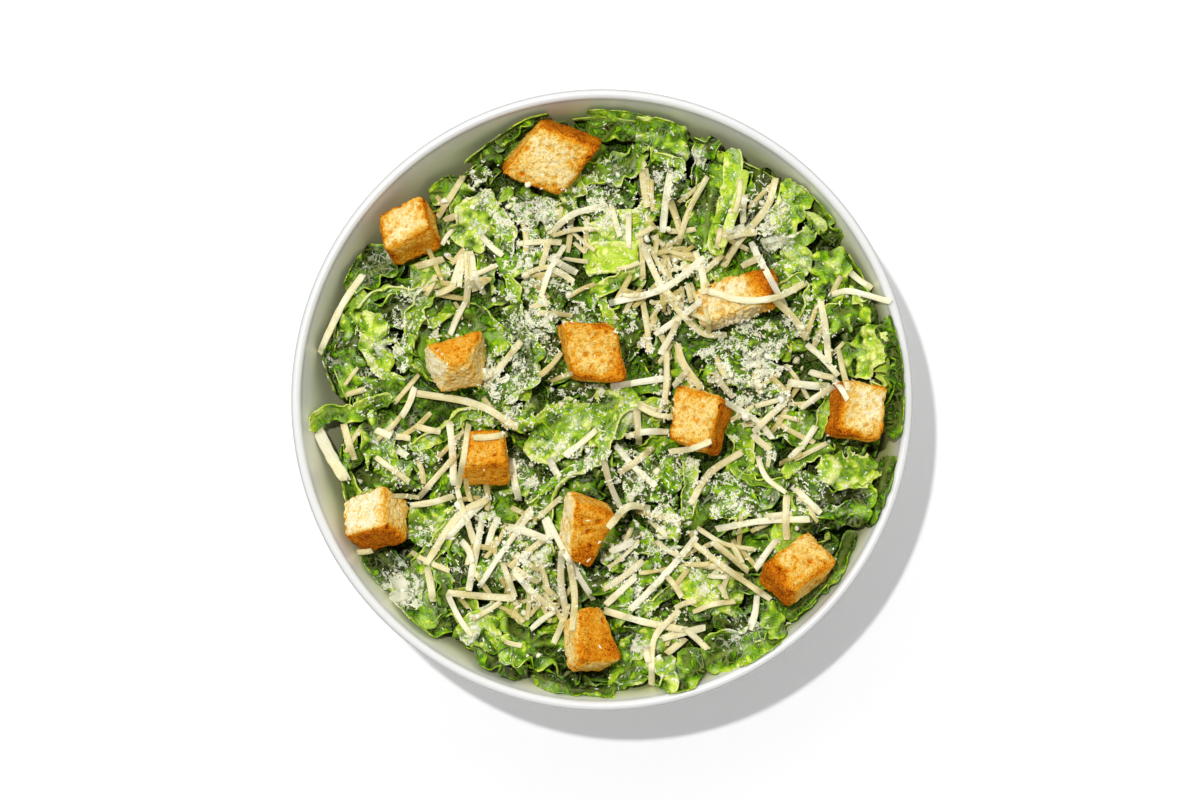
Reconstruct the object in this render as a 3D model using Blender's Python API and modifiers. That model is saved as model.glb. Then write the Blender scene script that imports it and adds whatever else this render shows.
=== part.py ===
"""A round white bowl heaped with dressed romaine salad and twelve toasted bread croutons.

Metres, +Z up. The origin is the middle of the foot ring, on the surface the bowl stands on.
"""

import math

import bmesh
import bpy
from mathutils import Euler, Vector, noise

MM = 0.001

# Bowl: driving sizes
RIM_RADIUS = 100 * MM
BOWL_HEIGHT = 62 * MM
LIP_WIDTH = 3.2 * MM
WALL = 4.0 * MM
FLOOR_HEIGHT = 7.0 * MM
FOOT_RADIUS = 49 * MM
FOOT_WIDTH = 4.6 * MM
FOOT_HEIGHT = 2.8 * MM
FOOT_EDGE = 0.6 * MM

# The wall's curve: how far in and how high its two handles stand, as shares of radius and height
UPPER_HANDLE = (0.89, 0.53)
LOWER_HANDLE = (0.74, 0.0)

# Salad: driving sizes
# (the bare wall is a share of the inner curve; BARE_SIDE is the side where most of it shows)
SALAD_CROWN = 61 * MM
BARE_WALL = 0.105
BARE_WALL_SWING = 0.070
BARE_SIDE = math.radians(155)
BARE_WALL_RAGGED = 0.035
RAGGED_LOBES = 1.7
LEAST_BARE_WALL = 0.015
CROWN_FLATNESS = 2.4
HUMPS_END = 6
RING_SPREAD = 0.8
LEAF_HUMP = 4.5 * MM
LEAF_HUMP_SPACING = 21 * MM
LEAF_FOLD = 1.8 * MM
LEAF_FOLD_SPACING = 8 * MM
LEAF_GAP = 0.6 * MM

# Croutons: driving sizes
CRUST_ROUNDING = 1.8 * MM
CROUTON_BUMP = 0.55 * MM
CROUTON_BUMP_SPACING = 6 * MM
CUT_SPREAD = 0.55
FRONT_NARROWING = (0.35, 1.0)
CROUTON_SHADE_BREAK = math.radians(50)
POCKET_ROOM = 1.1 * MM

# Number of flats
TURNED_STEPS = 48
SALAD_RINGS = 22
WALL_STEPS = 8
LIP_STEPS = 4
CROUTON_CUTS = 4
POCKET_CUTS = 1

# Where in the noise each thing reads its bumps
BARE_WALL_LAYER = 0.3
CROUTON_LAYER = 7.3

# One row for each crouton, in millimetres and degrees: the middle in plan, how far the middle stands
# above the leaves, the cut size, the spin about Z, the tip about its X and the roll about its Y. The
# last three say how far its plan is skewed, how wide the front of its top is against the back, and
# how far its top is drawn in against its base.
CROUTONS = (
    dict(at=(-16.4, 78.4), up=4.5, cut=(21.5, 20.5, 15),
         spin=-20, tip=13, roll=2, skew=0.36, front=0.95, top=1),
    dict(at=(-62.0, 54.2), up=5.0, cut=(17, 14, 15.5),
         spin=24, tip=-30, roll=-3, skew=0.18, front=1, top=1),
    dict(at=(-46.6, 12.0), up=3.0, cut=(22, 13, 15),
         spin=14, tip=-30, roll=4, skew=0.05, front=0.24, top=0.9),
    dict(at=(-3.2, 15.2), up=4.0, cut=(17.8, 18, 14),
         spin=-3, tip=-3, roll=6, skew=-0.27, front=1, top=1),
    dict(at=(43.2, 32.6), up=3.0, cut=(27, 13, 12),
         spin=19, tip=-14, roll=-9, skew=0.1, front=0.95, top=0.95),
    dict(at=(31.0, -6.6), up=4.0, cut=(17.5, 18.5, 14),
         spin=-17, tip=-4, roll=-18, skew=-0.1, front=0.76, top=1),
    dict(at=(82.0, -3.6), up=4.5, cut=(15.8, 18, 14),
         spin=-9, tip=-6, roll=16, skew=0.03, front=0.97, top=1),
    dict(at=(-37.6, -18.3), up=1.0, cut=(15, 16, 14.5),
         spin=2, tip=-28, roll=0, skew=0, front=1.15, top=0.82),
    dict(at=(-72.8, -38.6), up=4.5, cut=(17, 15.5, 14.5),
         spin=18, tip=-34, roll=-31, skew=0, front=1, top=1),
    dict(at=(-5.8, -41.8), up=3.0, cut=(16, 19.5, 13),
         spin=-21, tip=11, roll=18, skew=-0.16, front=0.5, top=1),
    dict(at=(62.6, -54.6), up=4.5, cut=(20.5, 14.5, 13),
         spin=36, tip=-15, roll=27, skew=0, front=1, top=1),
    dict(at=(-4.6, -77.4), up=3.5, cut=(10.5, 18.5, 12),
         spin=4, tip=-18, roll=33, skew=0.04, front=1.85, top=1),
)

COLOURS = {
    "bowl": ((0.83, 0.83, 0.82, 1), 0.28),
    "salad": ((0.09, 0.22, 0.02, 1), 0.45),
    "crouton": ((0.78, 0.44, 0.13, 1), 0.85),
}


def clear_scene():
    for item in list(bpy.data.objects):
        bpy.data.objects.remove(item, do_unlink=True)


def new_collection(name):
    collection = bpy.data.collections.new(name)
    bpy.context.scene.collection.children.link(collection)
    return collection


def new_material(name):
    colour, roughness = COLOURS[name]
    material = bpy.data.materials.new(name)
    material.use_nodes = True
    shader = material.node_tree.nodes["Principled BSDF"]
    shader.inputs["Base Color"].default_value = colour
    shader.inputs["Roughness"].default_value = roughness
    shader.inputs["Metallic"].default_value = 0
    return material


def new_object(name, bm, collection, material=None):
    """An object from a finished bmesh, linked to its collection."""
    mesh = bpy.data.meshes.new(name)
    bm.to_mesh(mesh)
    bm.free()
    item = bpy.data.objects.new(name, mesh)
    collection.objects.link(item)
    if material:
        mesh.materials.append(material)
    return item


# ---- bowl ----


def bezier(share, points):
    """The point at this share of a cubic curve."""
    rest = 1 - share
    weights = (rest**3, 3 * rest**2 * share, 3 * rest * share**2, share**3)
    return sum((Vector(point) * weight for point, weight in zip(points, weights)), Vector((0, 0)))


def wall_curve(share, radius, top, floor):
    """(radius, height) on a bowl-shaped curve, from its top edge at 0 to the axis at 1."""
    upper = (radius * UPPER_HANDLE[0], floor + (top - floor) * UPPER_HANDLE[1])
    lower = (radius * LOWER_HANDLE[0], floor + (top - floor) * LOWER_HANDLE[1])
    return bezier(share, ((radius, top), upper, lower, (0, floor)))


def inner_wall(share):
    lip = LIP_WIDTH / 2
    return wall_curve(share, RIM_RADIUS - LIP_WIDTH, BOWL_HEIGHT - lip, FLOOR_HEIGHT)


def outer_wall(share):
    lip = LIP_WIDTH / 2
    return wall_curve(share, RIM_RADIUS, BOWL_HEIGHT - lip, FLOOR_HEIGHT - WALL)


def outer_share_at(radius):
    """How far down the outer curve it has come in to this radius."""
    low, high = 0.0, 1.0
    for _ in range(40):
        middle = (low + high) / 2
        if outer_wall(middle)[0] > radius:
            low = middle
        else:
            high = middle
    return low


def lip_arc():
    """The round lip, from just outside the inner wall over to just short of the outer wall."""
    radius = LIP_WIDTH / 2
    middle = Vector((RIM_RADIUS - radius, BOWL_HEIGHT - radius))
    for step in range(1, LIP_STEPS):
        angle = math.pi * (1 - step / LIP_STEPS)
        yield middle + radius * Vector((math.cos(angle), math.sin(angle)))


def foot_profile():
    """The foot ring with its edges eased, then the underside out to the axis."""
    inside = FOOT_RADIUS - FOOT_WIDTH
    yield FOOT_RADIUS, FOOT_EDGE
    yield FOOT_RADIUS - FOOT_EDGE, 0
    yield inside + FOOT_EDGE, 0
    yield inside, FOOT_EDGE
    yield inside - FOOT_EDGE, FOOT_HEIGHT
    yield 0, FOOT_HEIGHT


def bowl_profile():
    """From the middle of the inside, up and over the lip, down the outside and under to the axis."""
    inside = [inner_wall(1 - step / WALL_STEPS) for step in range(WALL_STEPS + 1)]
    last = outer_share_at(FOOT_RADIUS)
    outside = [outer_wall(last * step / WALL_STEPS) for step in range(WALL_STEPS + 1)]
    return inside + list(lip_arc()) + outside + list(foot_profile())


def build_bowl(collection):
    bm = bmesh.new()
    points = [bm.verts.new((radius, 0, height)) for radius, height in bowl_profile()]
    for start, end in zip(points, points[1:]):
        bm.edges.new((start, end))
    bowl = new_object("bowl", bm, collection, new_material("bowl"))
    turn = bowl.modifiers.new("turn", "SCREW")
    turn.steps = TURNED_STEPS
    turn.render_steps = TURNED_STEPS
    turn.use_merge_vertices = True
    turn.merge_threshold = 0.00002
    turn.use_smooth_shade = True
    return bowl


# ---- salad ----


def bare_share(angle):
    """How much of the inner curve the leaves leave bare here: more on the far left than on the right."""
    ragged = noise.noise(Vector((math.cos(angle), math.sin(angle), BARE_WALL_LAYER)) * RAGGED_LOBES)
    swing = BARE_WALL_SWING * math.cos(angle - BARE_SIDE)
    return max(LEAST_BARE_WALL, BARE_WALL + swing + BARE_WALL_RAGGED * ragged)


def salad_height(x, y):
    """The top of the leaves: a low crown from the bare wall, with humps and folds."""
    angle = math.atan2(y, x)
    edge_radius, edge_height = inner_wall(bare_share(angle))
    out = min(1, math.hypot(x, y) / edge_radius)
    crown = edge_height + (SALAD_CROWN - edge_height) * (1 - out**CROWN_FLATNESS)
    hump = LEAF_HUMP * noise.noise(Vector((x, y, 0)) / LEAF_HUMP_SPACING)
    fold = LEAF_FOLD * noise.noise(Vector((x, y, LEAF_HUMP)) / LEAF_FOLD_SPACING)
    return crown + (hump + fold) * (1 - out**HUMPS_END)


def salad_point(angle, polar):
    """Takes a direction on a ball to the salad: the upper half to its top, the lower to the bowl."""
    quarter = math.pi / 2
    if polar < quarter:
        radius = (inner_wall(bare_share(angle))[0] - LEAF_GAP) * math.sin(polar) ** RING_SPREAD
        x, y = radius * math.cos(angle), radius * math.sin(angle)
        return Vector((x, y, salad_height(x, y)))
    bare = bare_share(angle)
    share = bare + (1 - bare) * (polar - quarter) / quarter
    radius, height = inner_wall(share)
    inward = LEAF_GAP * (1 - share)
    radius -= inward
    return Vector((radius * math.cos(angle), radius * math.sin(angle), height + LEAF_GAP))


def build_salad(collection, pockets):
    bm = bmesh.new()
    bmesh.ops.create_uvsphere(bm, u_segments=TURNED_STEPS, v_segments=SALAD_RINGS, radius=1)
    for vert in bm.verts:
        angle = math.atan2(vert.co.y, vert.co.x)
        vert.co = salad_point(angle, math.acos(max(-1, min(1, vert.co.z))))
    salad = new_object("salad", bm, collection, new_material("salad"))
    cut = salad.modifiers.new("crouton pockets", "BOOLEAN")
    cut.operation = "DIFFERENCE"
    cut.operand_type = "COLLECTION"
    cut.collection = pockets
    cut.solver = "EXACT"
    return salad


# ---- croutons ----


def cut_corner(spec, side, room):
    """Where a point of the unit block goes: its cut size, with skew, front and top narrowing."""
    length, width, height = (size * MM + 2 * room for size in spec["cut"])
    upper = (side.z + 1) / 2
    forward = (1 - side.y) / 2
    draw_in = 1 + (spec["top"] - 1) * upper
    base, peak = FRONT_NARROWING
    narrow = 1 + (spec["front"] - 1) * forward * (base + (peak - base) * upper)
    y = side.y * width / 2 * draw_in
    x = side.x * length / 2 * draw_in * narrow + spec["skew"] * y
    return Vector((x, y, side.z * height / 2))


def crouton_place(spec):
    """(middle, rotation) of a crouton."""
    x, y = (value * MM for value in spec["at"])
    middle = Vector((x, y, salad_height(x, y) + spec["up"] * MM))
    degrees = (spec["tip"], spec["roll"], spec["spin"])
    return middle, Euler([math.radians(value) for value in degrees], "XYZ").to_matrix()


def spread_cuts(value):
    """Moves the outer cuts of a face close to its edge, where they carry the rounding."""
    return math.copysign(abs(value) ** CUT_SPREAD, value) if abs(value) < 1 else value


def round_block(side, spec):
    """A point of the block with its edges and corners rounded by the crust's radius."""
    halves = Vector([size * MM / 2 for size in spec["cut"]])
    core = Vector([half - CRUST_ROUNDING for half in halves])
    point = Vector([value * half for value, half in zip(side, halves)])
    inner = Vector([max(-limit, min(limit, value)) for value, limit in zip(point, core)])
    away = point - inner
    if away.length > 0:
        point = inner + away.normalized() * CRUST_ROUNDING
    return Vector([value / half for value, half in zip(point, halves)])


def build_crouton(number, spec, collection, material):
    middle, rotation = crouton_place(spec)
    bm = bmesh.new()
    bmesh.ops.create_cube(bm, size=2)
    bmesh.ops.subdivide_edges(bm, edges=bm.edges[:], cuts=CROUTON_CUTS, use_grid_fill=True)
    for vert in bm.verts:
        side = round_block(Vector([spread_cuts(value) for value in vert.co]), spec)
        vert.co = cut_corner(spec, side, 0)
    bm.normal_update()
    moves = {}
    for vert in bm.verts:
        bump = noise.noise(vert.co / CROUTON_BUMP_SPACING + Vector((number * CROUTON_LAYER, 0, 0)))
        moves[vert] = vert.normal * CROUTON_BUMP * bump
    for vert, move in moves.items():
        vert.co = rotation @ (vert.co + move) + middle
    item = new_object(f"crouton_{number:02d}", bm, collection, material)
    item.data.shade_smooth()
    item.data.set_sharp_from_angle(angle=CROUTON_SHADE_BREAK)
    return item


def build_pocket(number, spec, collection):
    """The hollow that a crouton presses into the leaves, as a plain block a little larger than it."""
    middle, rotation = crouton_place(spec)
    bm = bmesh.new()
    bmesh.ops.create_cube(bm, size=2)
    bmesh.ops.subdivide_edges(bm, edges=bm.edges[:], cuts=POCKET_CUTS, use_grid_fill=True)
    for vert in bm.verts:
        vert.co = rotation @ cut_corner(spec, vert.co, POCKET_ROOM) + middle
    pocket = new_object(f"pocket_{number:02d}", bm, collection)
    pocket.hide_render = True
    pocket.display_type = "WIRE"
    return pocket


def main():
    clear_scene()
    parts = new_collection("caesar_salad")
    pockets = new_collection("pockets")
    pockets.hide_render = True
    build_bowl(parts)
    bread = new_material("crouton")
    for number, spec in enumerate(CROUTONS, start=1):
        build_crouton(number, spec, parts, bread)
        build_pocket(number, spec, pockets)
    build_salad(parts, pockets)


main()
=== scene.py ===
import math

import bmesh
import bpy
import numpy as np
from mathutils import Euler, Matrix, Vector, noise
from mathutils.bvhtree import BVHTree


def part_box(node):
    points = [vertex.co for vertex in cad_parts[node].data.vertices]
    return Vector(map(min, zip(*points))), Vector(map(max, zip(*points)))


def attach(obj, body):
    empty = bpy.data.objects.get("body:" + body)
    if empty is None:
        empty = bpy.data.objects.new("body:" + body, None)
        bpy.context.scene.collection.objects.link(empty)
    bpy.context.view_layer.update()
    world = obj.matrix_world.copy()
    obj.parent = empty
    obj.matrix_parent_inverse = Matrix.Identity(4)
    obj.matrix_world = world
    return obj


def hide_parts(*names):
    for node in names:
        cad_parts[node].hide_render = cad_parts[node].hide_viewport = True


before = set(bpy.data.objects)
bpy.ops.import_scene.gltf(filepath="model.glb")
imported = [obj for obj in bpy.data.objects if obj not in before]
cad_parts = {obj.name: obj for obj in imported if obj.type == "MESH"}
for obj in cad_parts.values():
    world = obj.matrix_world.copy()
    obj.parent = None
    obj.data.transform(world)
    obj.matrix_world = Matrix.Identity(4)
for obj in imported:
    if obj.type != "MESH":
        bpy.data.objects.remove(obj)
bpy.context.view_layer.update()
scene = bpy.context.scene

mm = 0.001  # every size below is in millimetres


# numbers and noise

def hashCells(cells, seed):
    # an even 0 to 1 number for each whole-number place
    n = cells[..., 0] * 73856093 ^ cells[..., 1] * 19349663 ^ cells[..., 2] * 83492791 ^ (seed + 11) * 26544357
    n = (n & 0x7FFFFFFF) ^ ((n & 0x7FFFFFFF) >> 13)
    n = (n * 1274126177) & 0x7FFFFFFF
    n = ((n ^ (n >> 15)) * 362437) & 0x7FFFFFFF
    return ((n >> 7) & 0xFFFF) / 65535.0


def softNoise(x, y, z=0.0, seed=0):
    # smooth lumps between -1 and 1, about one for each unit
    place = np.stack(np.broadcast_arrays(x, y, z), -1).astype(float)
    cell = np.floor(place).astype(np.int64)
    part = place - cell
    part = part * part * (3 - 2 * part)
    total = np.zeros(place.shape[:-1])
    for corner in range(8):
        step = np.array([corner & 1, corner >> 1 & 1, corner >> 2 & 1])
        weight = np.prod(np.where(step == 1, part, 1 - part), axis=-1)
        total += weight * (hashCells(cell + step, seed) * 2 - 1)
    return total


def cellPattern(a, b, seed):
    # distances to the nearest and the second nearest of the scattered cell middles
    nearest = np.full(a.shape, 9.0)
    second = nearest.copy()
    for stepA in (-1, 0, 1):
        for stepB in (-1, 0, 1):
            cell = np.stack([np.floor(a) + stepA, np.floor(b) + stepB, np.zeros(a.shape)], -1).astype(np.int64)
            overA = cell[..., 0] + 0.5 + (hashCells(cell, seed) - 0.5) * 0.9 - a
            overB = cell[..., 1] + 0.5 + (hashCells(cell, seed + 7) - 0.5) * 0.9 - b
            away = np.hypot(overA, overB)
            second = np.minimum(second, np.maximum(away, nearest))
            nearest = np.minimum(nearest, away)
    return nearest, second


def easeIn(value, low, high):
    share = np.clip((value - low) / (high - low), 0, 1)
    return share * share * (3 - 2 * share)


def smoothPath(points, count):
    # an even walk along a soft curve through the points
    points = np.array(points, float)
    if len(points) == 2:
        points = np.array([points[0], points.mean(0), points[1]])
    knots = np.vstack([2 * points[0] - points[1], points, 2 * points[-1] - points[-2]])
    fine = []
    for number in range(1, len(knots) - 2):
        before, start, end, after = knots[number - 1:number + 3]
        share = np.linspace(0, 1, 24, endpoint=False)[:, None]
        fine.append(0.5 * (2 * start + (end - before) * share
                           + (2 * before - 5 * start + 4 * end - after) * share**2
                           + (3 * start - before - 3 * end + after) * share**3))
    fine = np.vstack([*fine, points[-1:]])
    steps = np.hypot(*np.diff(fine[:, :2], axis=0).T)
    walked = np.concatenate([[0], np.cumsum(steps)])
    even = np.linspace(0, walked[-1], count)
    return np.stack([np.interp(even, walked, fine[:, axis]) for axis in range(points.shape[1])], 1), walked[-1]


# meshes

def makePiece(name, points, faces, values, material, slot, replaced=(), faceted=False):
    # one mesh from points in millimetres; values are named numbers or vectors for each point
    mesh = bpy.data.meshes.new(name)
    mesh.vertices.add(len(points))
    mesh.vertices.foreach_set("co", (np.asarray(points) * mm).astype(np.float32).ravel())
    faces = np.asarray(faces, np.int32)
    mesh.loops.add(faces.size)
    mesh.loops.foreach_set("vertex_index", faces.ravel())
    mesh.polygons.add(len(faces))
    mesh.polygons.foreach_set("loop_start", np.arange(0, faces.size, faces.shape[1], dtype=np.int32))
    mesh.update(calc_edges=True)
    mesh.validate()
    if faceted:
        mesh.shade_flat()
    else:
        mesh.shade_smooth()
    for label, numbers in values.items():
        numbers = np.asarray(numbers, np.float32)
        kind, field = ("FLOAT", "value") if numbers.ndim == 1 else ("FLOAT_VECTOR", "vector")
        mesh.attributes.new(label, kind, "POINT").data.foreach_set(field, numbers.ravel())
    mesh.materials.append(material)
    piece = bpy.data.objects.new(name, mesh)
    scene.collection.objects.link(piece)
    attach(piece, "root")
    if replaced:
        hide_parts(*replaced)
    return piece


def joinParts(parts):
    # several (points, faces, values) into one
    starts = np.cumsum([0] + [len(part[0]) for part in parts[:-1]])
    points = np.vstack([part[0] for part in parts])
    faces = np.vstack([part[1] + start for part, start in zip(parts, starts)])
    values = {label: np.concatenate([part[2][label] for part in parts]) for label in parts[0][2]}
    return points, faces, values


def gridFaces(rows, columns, closed=False):
    # quads over a grid of points; closed joins the last column to the first
    across = columns if closed else columns - 1
    row, column = np.meshgrid(np.arange(rows - 1), np.arange(across), indexing="ij")
    after = (column + 1) % columns
    return np.stack([row * columns + column, (row + 1) * columns + column,
                     (row + 1) * columns + after, row * columns + after], -1).reshape(-1, 4)


def halve(quads):
    # each quad as two triangles
    return np.vstack([quads[:, [0, 1, 2]], quads[:, [0, 2, 3]]])


def ringOf(index):
    # the numbers round the outside of a grid of numbers
    return np.concatenate([index[:-1, 0], index[-1, :-1], index[:0:-1, -1], index[0, :0:-1]])


# shader helpers

def paint(red, green, blue):
    # an everyday 0 to 255 colour as the linear one that shaders take
    linear = [((value / 255 + 0.055) / 1.055) ** 2.4 if value > 10 else value / 255 / 12.92 for value in (red, green, blue)]
    return (*linear, 1)


def put(tree, kind, sockets=None, **settings):
    node = tree.nodes.new(kind)
    for label, value in settings.items():
        setattr(node, label, value)
    for label, value in (sockets or {}).items():
        if isinstance(value, bpy.types.NodeSocket):
            tree.links.new(value, node.inputs[label])
        else:
            node.inputs[label].default_value = value
    return node


def calc(tree, operation, *values, clamp=False):
    sockets = dict(enumerate(values))
    return put(tree, "ShaderNodeMath", sockets, operation=operation, use_clamp=clamp).outputs[0]


def easeNode(tree, value, low, high):
    sockets = {"Value": value, "From Min": low, "From Max": high}
    return put(tree, "ShaderNodeMapRange", sockets, interpolation_type="SMOOTHSTEP").outputs["Result"]


def mixPaint(tree, share, first, second):
    node = put(tree, "ShaderNodeMix", data_type="RGBA")
    for index, value in ((0, share), (6, first), (7, second)):
        if isinstance(value, bpy.types.NodeSocket):
            tree.links.new(value, node.inputs[index])
        else:
            node.inputs[index].default_value = value
    return node.outputs[2]


def rampNode(tree, value, stops):
    node = put(tree, "ShaderNodeValToRGB", {"Fac": value})
    ramp = node.color_ramp
    while len(ramp.elements) < len(stops):
        ramp.elements.new(0.5)
    for element, (place, colour) in zip(ramp.elements, stops):
        element.position = place
        element.color = colour
    return node.outputs["Color"]


def newGroup(name, inputs, outputs):
    tree = bpy.data.node_groups.new(name, "ShaderNodeTree")
    for label, kind, value in inputs:
        socket = tree.interface.new_socket(label, in_out="INPUT", socket_type=kind)
        if value is not None:
            socket.default_value = value
    for label, kind in outputs:
        tree.interface.new_socket(label, in_out="OUTPUT", socket_type=kind)
    return tree, tree.nodes.new("NodeGroupInput").outputs, tree.nodes.new("NodeGroupOutput").inputs


def newMaterial(name):
    material = bpy.data.materials.new(name)
    material.use_nodes = True
    return material, material.node_tree, material.node_tree.nodes["Principled BSDF"]


def useGroup(tree, group, sockets):
    return put(tree, "ShaderNodeGroup", sockets, node_tree=group).outputs


def readValue(tree, label, output="Fac"):
    return put(tree, "ShaderNodeAttribute", attribute_name=label).outputs[output]


def objectPlace(tree):
    return put(tree, "ShaderNodeTexCoord").outputs["Object"]


floatSocket, vectorSocket, colourSocket = "NodeSocketFloat", "NodeSocketVector", "NodeSocketColor"


def makeFineVeins():
    # a net of pale veins with small puffs between them; Place is in millimetres along the leaf
    tree, given, out = newGroup("fineVeins", [("Place", vectorSocket, None), ("Cell", floatSocket, 2.2)],
                                [("Vein", floatSocket), ("Puff", floatSocket)])
    wander = put(tree, "ShaderNodeTexNoise", {"Vector": given["Place"], "Scale": 0.35, "Detail": 2.0})
    bent = put(tree, "ShaderNodeVectorMath", {0: wander.outputs["Color"], 1: (2.4, 2.4, 0)}, operation="MULTIPLY").outputs[0]
    bent = put(tree, "ShaderNodeVectorMath", {0: bent, 1: given["Place"]}, operation="ADD").outputs[0]
    scale = calc(tree, "DIVIDE", 1.0, given["Cell"])
    big = put(tree, "ShaderNodeTexVoronoi", {"Vector": bent, "Scale": scale}, feature="DISTANCE_TO_EDGE")
    small = put(tree, "ShaderNodeTexVoronoi", {"Vector": bent, "Scale": calc(tree, "MULTIPLY", scale, 2.6)}, feature="DISTANCE_TO_EDGE")
    bigVein = easeNode(tree, big.outputs["Distance"], 0.13, 0.0)
    smallVein = easeNode(tree, small.outputs["Distance"], 0.16, 0.0)
    tree.links.new(calc(tree, "MAXIMUM", bigVein, calc(tree, "MULTIPLY", smallVein, 0.22)), out["Vein"])
    puff = calc(tree, "ADD", easeNode(tree, big.outputs["Distance"], 0.0, 0.4), calc(tree, "MULTIPLY", easeNode(tree, small.outputs["Distance"], 0.0, 0.4), 0.35))
    tree.links.new(puff, out["Puff"])
    return tree


def makeDressingAndGlints():
    # white dressing in smears, and drops that are partly dressing and partly painted glints; Amount 0 is none and 1
    # nearly covers
    tree, given, out = newGroup("dressingAndGlints", [("Place", vectorSocket, None), ("Amount", floatSocket, 0.3)],
                                [("Mask", floatSocket), ("Height", floatSocket)])
    smear = put(tree, "ShaderNodeTexNoise", {"Vector": given["Place"], "Scale": 380.0, "Detail": 4.0, "Roughness": 0.66, "Distortion": 0.8})
    drop = put(tree, "ShaderNodeTexVoronoi", {"Vector": given["Place"], "Scale": 680.0, "Randomness": 1.0})
    level = calc(tree, "SUBTRACT", 0.73, calc(tree, "MULTIPLY", given["Amount"], 0.30))
    film = easeNode(tree, smear.outputs["Fac"], level, calc(tree, "ADD", level, 0.05))
    reach = calc(tree, "MULTIPLY_ADD", given["Amount"], 0.42, 0.07)
    spot = easeNode(tree, drop.outputs["Distance"], reach, calc(tree, "MULTIPLY", reach, 0.6))
    chosen = put(tree, "ShaderNodeSeparateColor", {0: drop.outputs["Color"]}).outputs[0]
    spot = calc(tree, "MULTIPLY", spot, calc(tree, "LESS_THAN", chosen, calc(tree, "MULTIPLY_ADD", given["Amount"], 0.8, 0.09)))
    mask = calc(tree, "MAXIMUM", film, spot)
    tree.links.new(mask, out["Mask"])
    tree.links.new(mask, out["Height"])
    return tree


def makeCheeseDust():
    # fine grated cheese as pale grains; Amount 0 is none and 1 is snowed over
    tree, given, out = newGroup("cheeseDust", [("Place", vectorSocket, None), ("Amount", floatSocket, 0.3)],
                                [("Mask", floatSocket), ("Height", floatSocket)])
    wander = put(tree, "ShaderNodeTexNoise", {"Vector": given["Place"], "Scale": 900.0, "Detail": 1.0})
    bent = put(tree, "ShaderNodeVectorMath", {0: wander.outputs["Color"], 1: (0.0016, 0.0016, 0.0016)}, operation="MULTIPLY").outputs[0]
    bent = put(tree, "ShaderNodeVectorMath", {0: bent, 1: given["Place"]}, operation="ADD").outputs[0]
    grain = put(tree, "ShaderNodeTexVoronoi", {"Vector": bent, "Scale": 950.0})
    chosen = calc(tree, "LESS_THAN", put(tree, "ShaderNodeSeparateColor", {0: grain.outputs["Color"]}).outputs[0], calc(tree, "MULTIPLY", given["Amount"], 0.2))
    body = easeNode(tree, grain.outputs["Distance"], 0.62, 0.42)
    mask = calc(tree, "MULTIPLY", body, chosen)
    tree.links.new(mask, out["Mask"])
    tree.links.new(mask, out["Height"])
    return tree


fineVeins = makeFineVeins()
dressingAndGlints = makeDressingAndGlints()
cheeseDust = makeCheeseDust()
print("shader groups made")


# bowl

bowl = dict(rimRadius=100, height=62, lipWidth=3.2, wall=4.0, floor=7.0,
            footRadius=49, footWidth=4.6, footHeight=2.8, footEdge=0.6,
            upperHandle=(0.89, 0.53), lowerHandle=(0.74, 0.0),
            turned=160, wallSteps=44, lipSteps=12,
            glaze=paint(234, 234, 232), lipEdgeShade=paint(176, 177, 172), roughness=0.24,
           # olive towards the food: partly a film of dressing, partly painted shade with painted green bounce light
           # from the salad
           oiledShade=[(0.0, paint(234, 234, 232)), (0.3, paint(229, 230, 196)), (0.7, paint(212, 215, 150)), (1.0, paint(178, 184, 92))])


def wallCurve(share, radius, top, floor):
    # radius and height on the bowl's curve, from its top edge at 0 to the axis at 1
    share = np.asarray(share, float)
    upper = radius * bowl["upperHandle"][0], floor + (top - floor) * bowl["upperHandle"][1]
    lower = radius * bowl["lowerHandle"][0], floor + (top - floor) * bowl["lowerHandle"][1]
    rest = 1 - share
    weights = rest**3, 3 * rest**2 * share, 3 * rest * share**2, share**3
    corners = (radius, top), upper, lower, (0, floor)
    return [sum(weight * corner[axis] for weight, corner in zip(weights, corners)) for axis in (0, 1)]


def innerWall(share):
    return wallCurve(share, bowl["rimRadius"] - bowl["lipWidth"], bowl["height"] - bowl["lipWidth"] / 2, bowl["floor"])


def outerWall(share):
    return wallCurve(share, bowl["rimRadius"], bowl["height"] - bowl["lipWidth"] / 2, bowl["floor"] - bowl["wall"])


wallShares = np.linspace(1, 0, 400)
wallRadii, wallHeights = innerWall(wallShares)


def wallHeightAt(radius):
    # how high the inside of the bowl is this far from its middle
    return np.where(radius > wallRadii[-1], bowl["height"] + 0.2, np.interp(radius, wallRadii, wallHeights))


# how far out the leaves reach, for each heading in degrees
leafReach = [(-180, 84), (-172, 86), (-165, 89.5), (-150, 92.5), (-135, 93), (-120, 93.2), (-105, 94.2), (-90, 95.6), (-75, 97), (-60, 97),
             (-45, 96), (-30, 95.8), (-15, 96.3), (0, 96.6), (15, 96.3), (30, 94.2), (45, 94), (60, 91.5), (75, 92), (90, 93.2),
             (105, 93.2), (120, 87.5), (135, 88), (150, 91), (165, 91), (172, 90.5), (177, 86), (180, 84)]


def reachAt(x, y):
    headings, reaches = zip(*leafReach)
    return np.interp(np.degrees(np.arctan2(y, x)), headings, reaches)


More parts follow.
